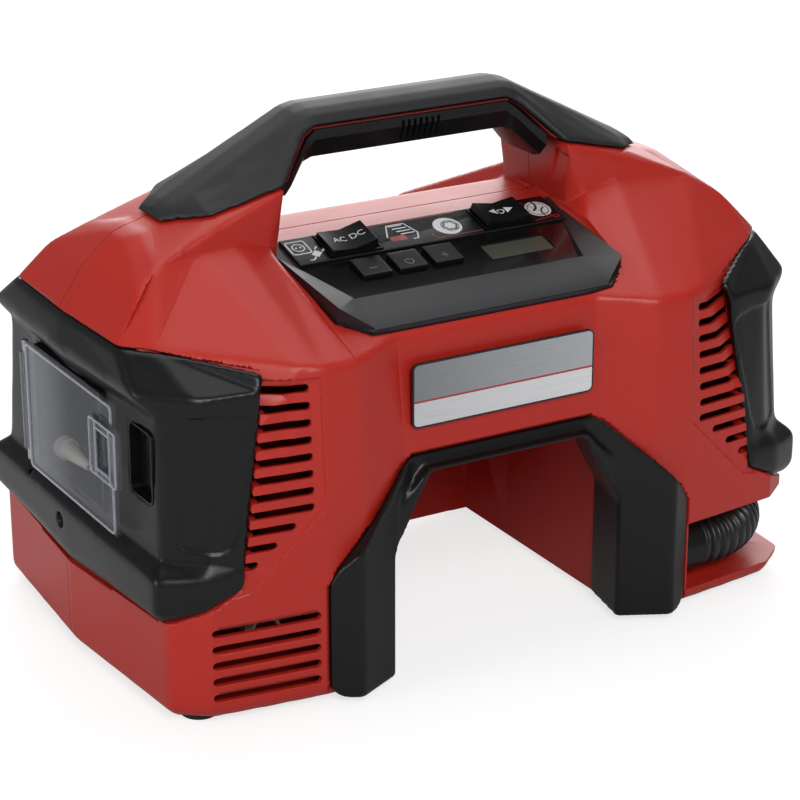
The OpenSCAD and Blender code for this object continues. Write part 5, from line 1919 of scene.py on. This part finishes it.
@dataclass
class InnerParts:
    """CAD nodes that keep their own shape and only get a finish."""

    switches: tuple[str, ...] = ("switch_bodies", "pump_frame", "battery_rails",
                                 "terminal_block", "mains_gland", "dc_socket",
                                 "lcd_module", "blower_housing")
    ducts: tuple[str, ...] = ("inflate_duct", "deflate_duct")
    plated: tuple[str, ...] = ("door_hinge_pin", "ball_needle", "blower_motor",
                               "pump_motor", "motor_pinion", "wrist_pin",
                               "housing_screws")
    turned: tuple[str, ...] = ("pressure_outlet", "crank_bush", "board_standoffs")
    cast: tuple[str, ...] = ("piston", "pump_cylinder", "pump_head", "connecting_rod",
                             "air_pipe")
    nylon: tuple[str, ...] = ("crank_gear", "motor_fan", "blower_impeller",
                              "cone_nozzle")
    boards: tuple[str, ...] = ("power_board", "control_board")
    feet: tuple[str, ...] = ("rubber_feet",)

    def build(self, finishes: Finishes) -> None:
        """Dresses the nodes that no piece has replaced.

        Args:
            finishes: The object's materials.
        """
        for material, names in (
                (finishes.black, self.switches), (finishes.apron, self.ducts),
                (finishes.steel, self.plated), (finishes.brass, self.turned),
                (finishes.aluminium, self.cast), (finishes.white, self.nylon),
                (finishes.board, self.boards), (finishes.rubber, self.feet)):
            for name in names:
                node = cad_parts[name]
                for slot in node.material_slots:
                    slot.material = material
                if not node.material_slots:
                    node.data.materials.append(material)
                LOG.info("%s: CAD node, %s", name, material.name)


# ---- stage ---------------------------------------------------------------


@dataclass(frozen=True)
class Lamp:
    """A square soft box that faces a point of the object, in metres and watts."""

    name: str
    where: Point
    size: float
    power: float
    aim: Point = (0.0, 0.0, 0.12)

    def build(self) -> None:
        """Adds the lamp."""
        data = bpy.data.lights.new(self.name, "AREA")
        data.size = self.size
        data.energy = self.power
        lamp = bpy.data.objects.new(self.name, data)
        lamp.location = self.where
        aim = Vector(self.aim) - Vector(self.where)
        lamp.rotation_euler = aim.to_track_quat("-Z", "Y").to_euler()
        bpy.context.collection.objects.link(lamp)


@dataclass
class Studio:
    """Pale floor, soft lamps, white surroundings and the camera."""

    eye: Point = (-0.64012, -1.0964, 0.59132)
    pitch: float = 68.84
    yaw: float = -30.28
    lens: float = 117.13
    sensor: float = 36.0
    fill: float = 0.20
    floor_half: float = 5.0
    floor_glow: float = 0.72
    paper_lit: str = "#D2D2D2"
    paper_seen: str = "#A8A8A8"
    lamps: tuple[Lamp, ...] = (
        Lamp("key", (-0.5, -1.9, 1.5), 1.0, 30.0), Lamp("side", (-2.0, -0.1, 0.8), 1.0, 11.0),
        Lamp("top", (0.3, 0.6, 2.2), 1.6, 15.0), Lamp("back", (1.1, 1.9, 0.95), 1.8, 34.0))

    def camera(self) -> None:
        """Sets up the camera."""
        data = bpy.data.cameras.new("camera")
        data.lens = self.lens
        data.sensor_width = self.sensor
        camera = bpy.data.objects.new("camera", data)
        camera.location = self.eye
        camera.rotation_euler = (math.radians(self.pitch), 0.0, math.radians(self.yaw))
        bpy.context.collection.objects.link(camera)
        bpy.context.scene.camera = camera

    def surroundings(self) -> None:
        """Sets the world: plain white to the camera, a soft grey for lighting."""
        world = bpy.data.worlds.new("surroundings")
        bpy.context.scene.world = world
        world.use_nodes = True
        tree = world.node_tree
        tree.nodes.clear()
        path = add(tree, "ShaderNodeLightPath")
        fill, seen = (add(tree, "ShaderNodeBackground", None, {
            "Color": linear("#FFFFFF"), "Strength": strength}) for strength in (self.fill, 1.0))
        mix = add(tree, "ShaderNodeMixShader", None, {
            0: path.outputs["Is Camera Ray"], 1: fill.outputs[0], 2: seen.outputs[0]})
        add(tree, "ShaderNodeOutputWorld", None, {"Surface": mix.outputs[0]})

    def floor(self) -> None:
        """Adds the floor, which shows white with the object's shadow."""
        half = self.floor_half
        mesh = mesh_of("floor", [(-half, -half, 0), (half, -half, 0), (half, half, 0),
                                 (-half, half, 0)], [(0, 1, 2, 3)])
        floor = new_object("floor", mesh)
        material, tree, shader = new_material("white_paper")
        path = add(tree, "ShaderNodeLightPath")
        glow = add(tree, "ShaderNodeMath", {"operation": "MULTIPLY"}, {
            0: path.outputs["Is Camera Ray"], 1: self.floor_glow})
        paper = add(tree, "ShaderNodeMix", {"data_type": "RGBA"}, {
            "Factor": path.outputs["Is Camera Ray"], 6: linear(self.paper_lit),
            7: linear(self.paper_seen)})
        tree.links.new(paper.outputs[2], shader.inputs["Base Color"])
        shader.inputs["Roughness"].default_value = 0.9
        shader.inputs["Specular IOR Level"].default_value = 0.1
        shader.inputs["Emission Color"].default_value = linear("#FFFFFF")
        tree.links.new(glow.outputs[0], shader.inputs["Emission Strength"])
        mesh.materials.append(material)

    def build(self) -> None:
        """Builds the stage."""
        self.camera()
        self.surroundings()
        self.floor()
        for lamp in self.lamps:
            lamp.build()
        bpy.context.scene.view_settings.view_transform = "Standard"


def main() -> None:
    """Builds the whole model and reports each piece."""
    logging.basicConfig(level=logging.INFO, format="%(message)s")
    Studio().build()
    finishes = Finishes()
    for part in (InnerParts(), HousingShells(), EndFrames(), ArchTrim(), Handle(),
                 ControlPanel(), Badge(), AccessoryBay(), Hose(), FrameScrews()):
        LOG.info("-- %s", type(part).__name__)
        part.build(finishes)


if __name__ == "__main__":
    main()
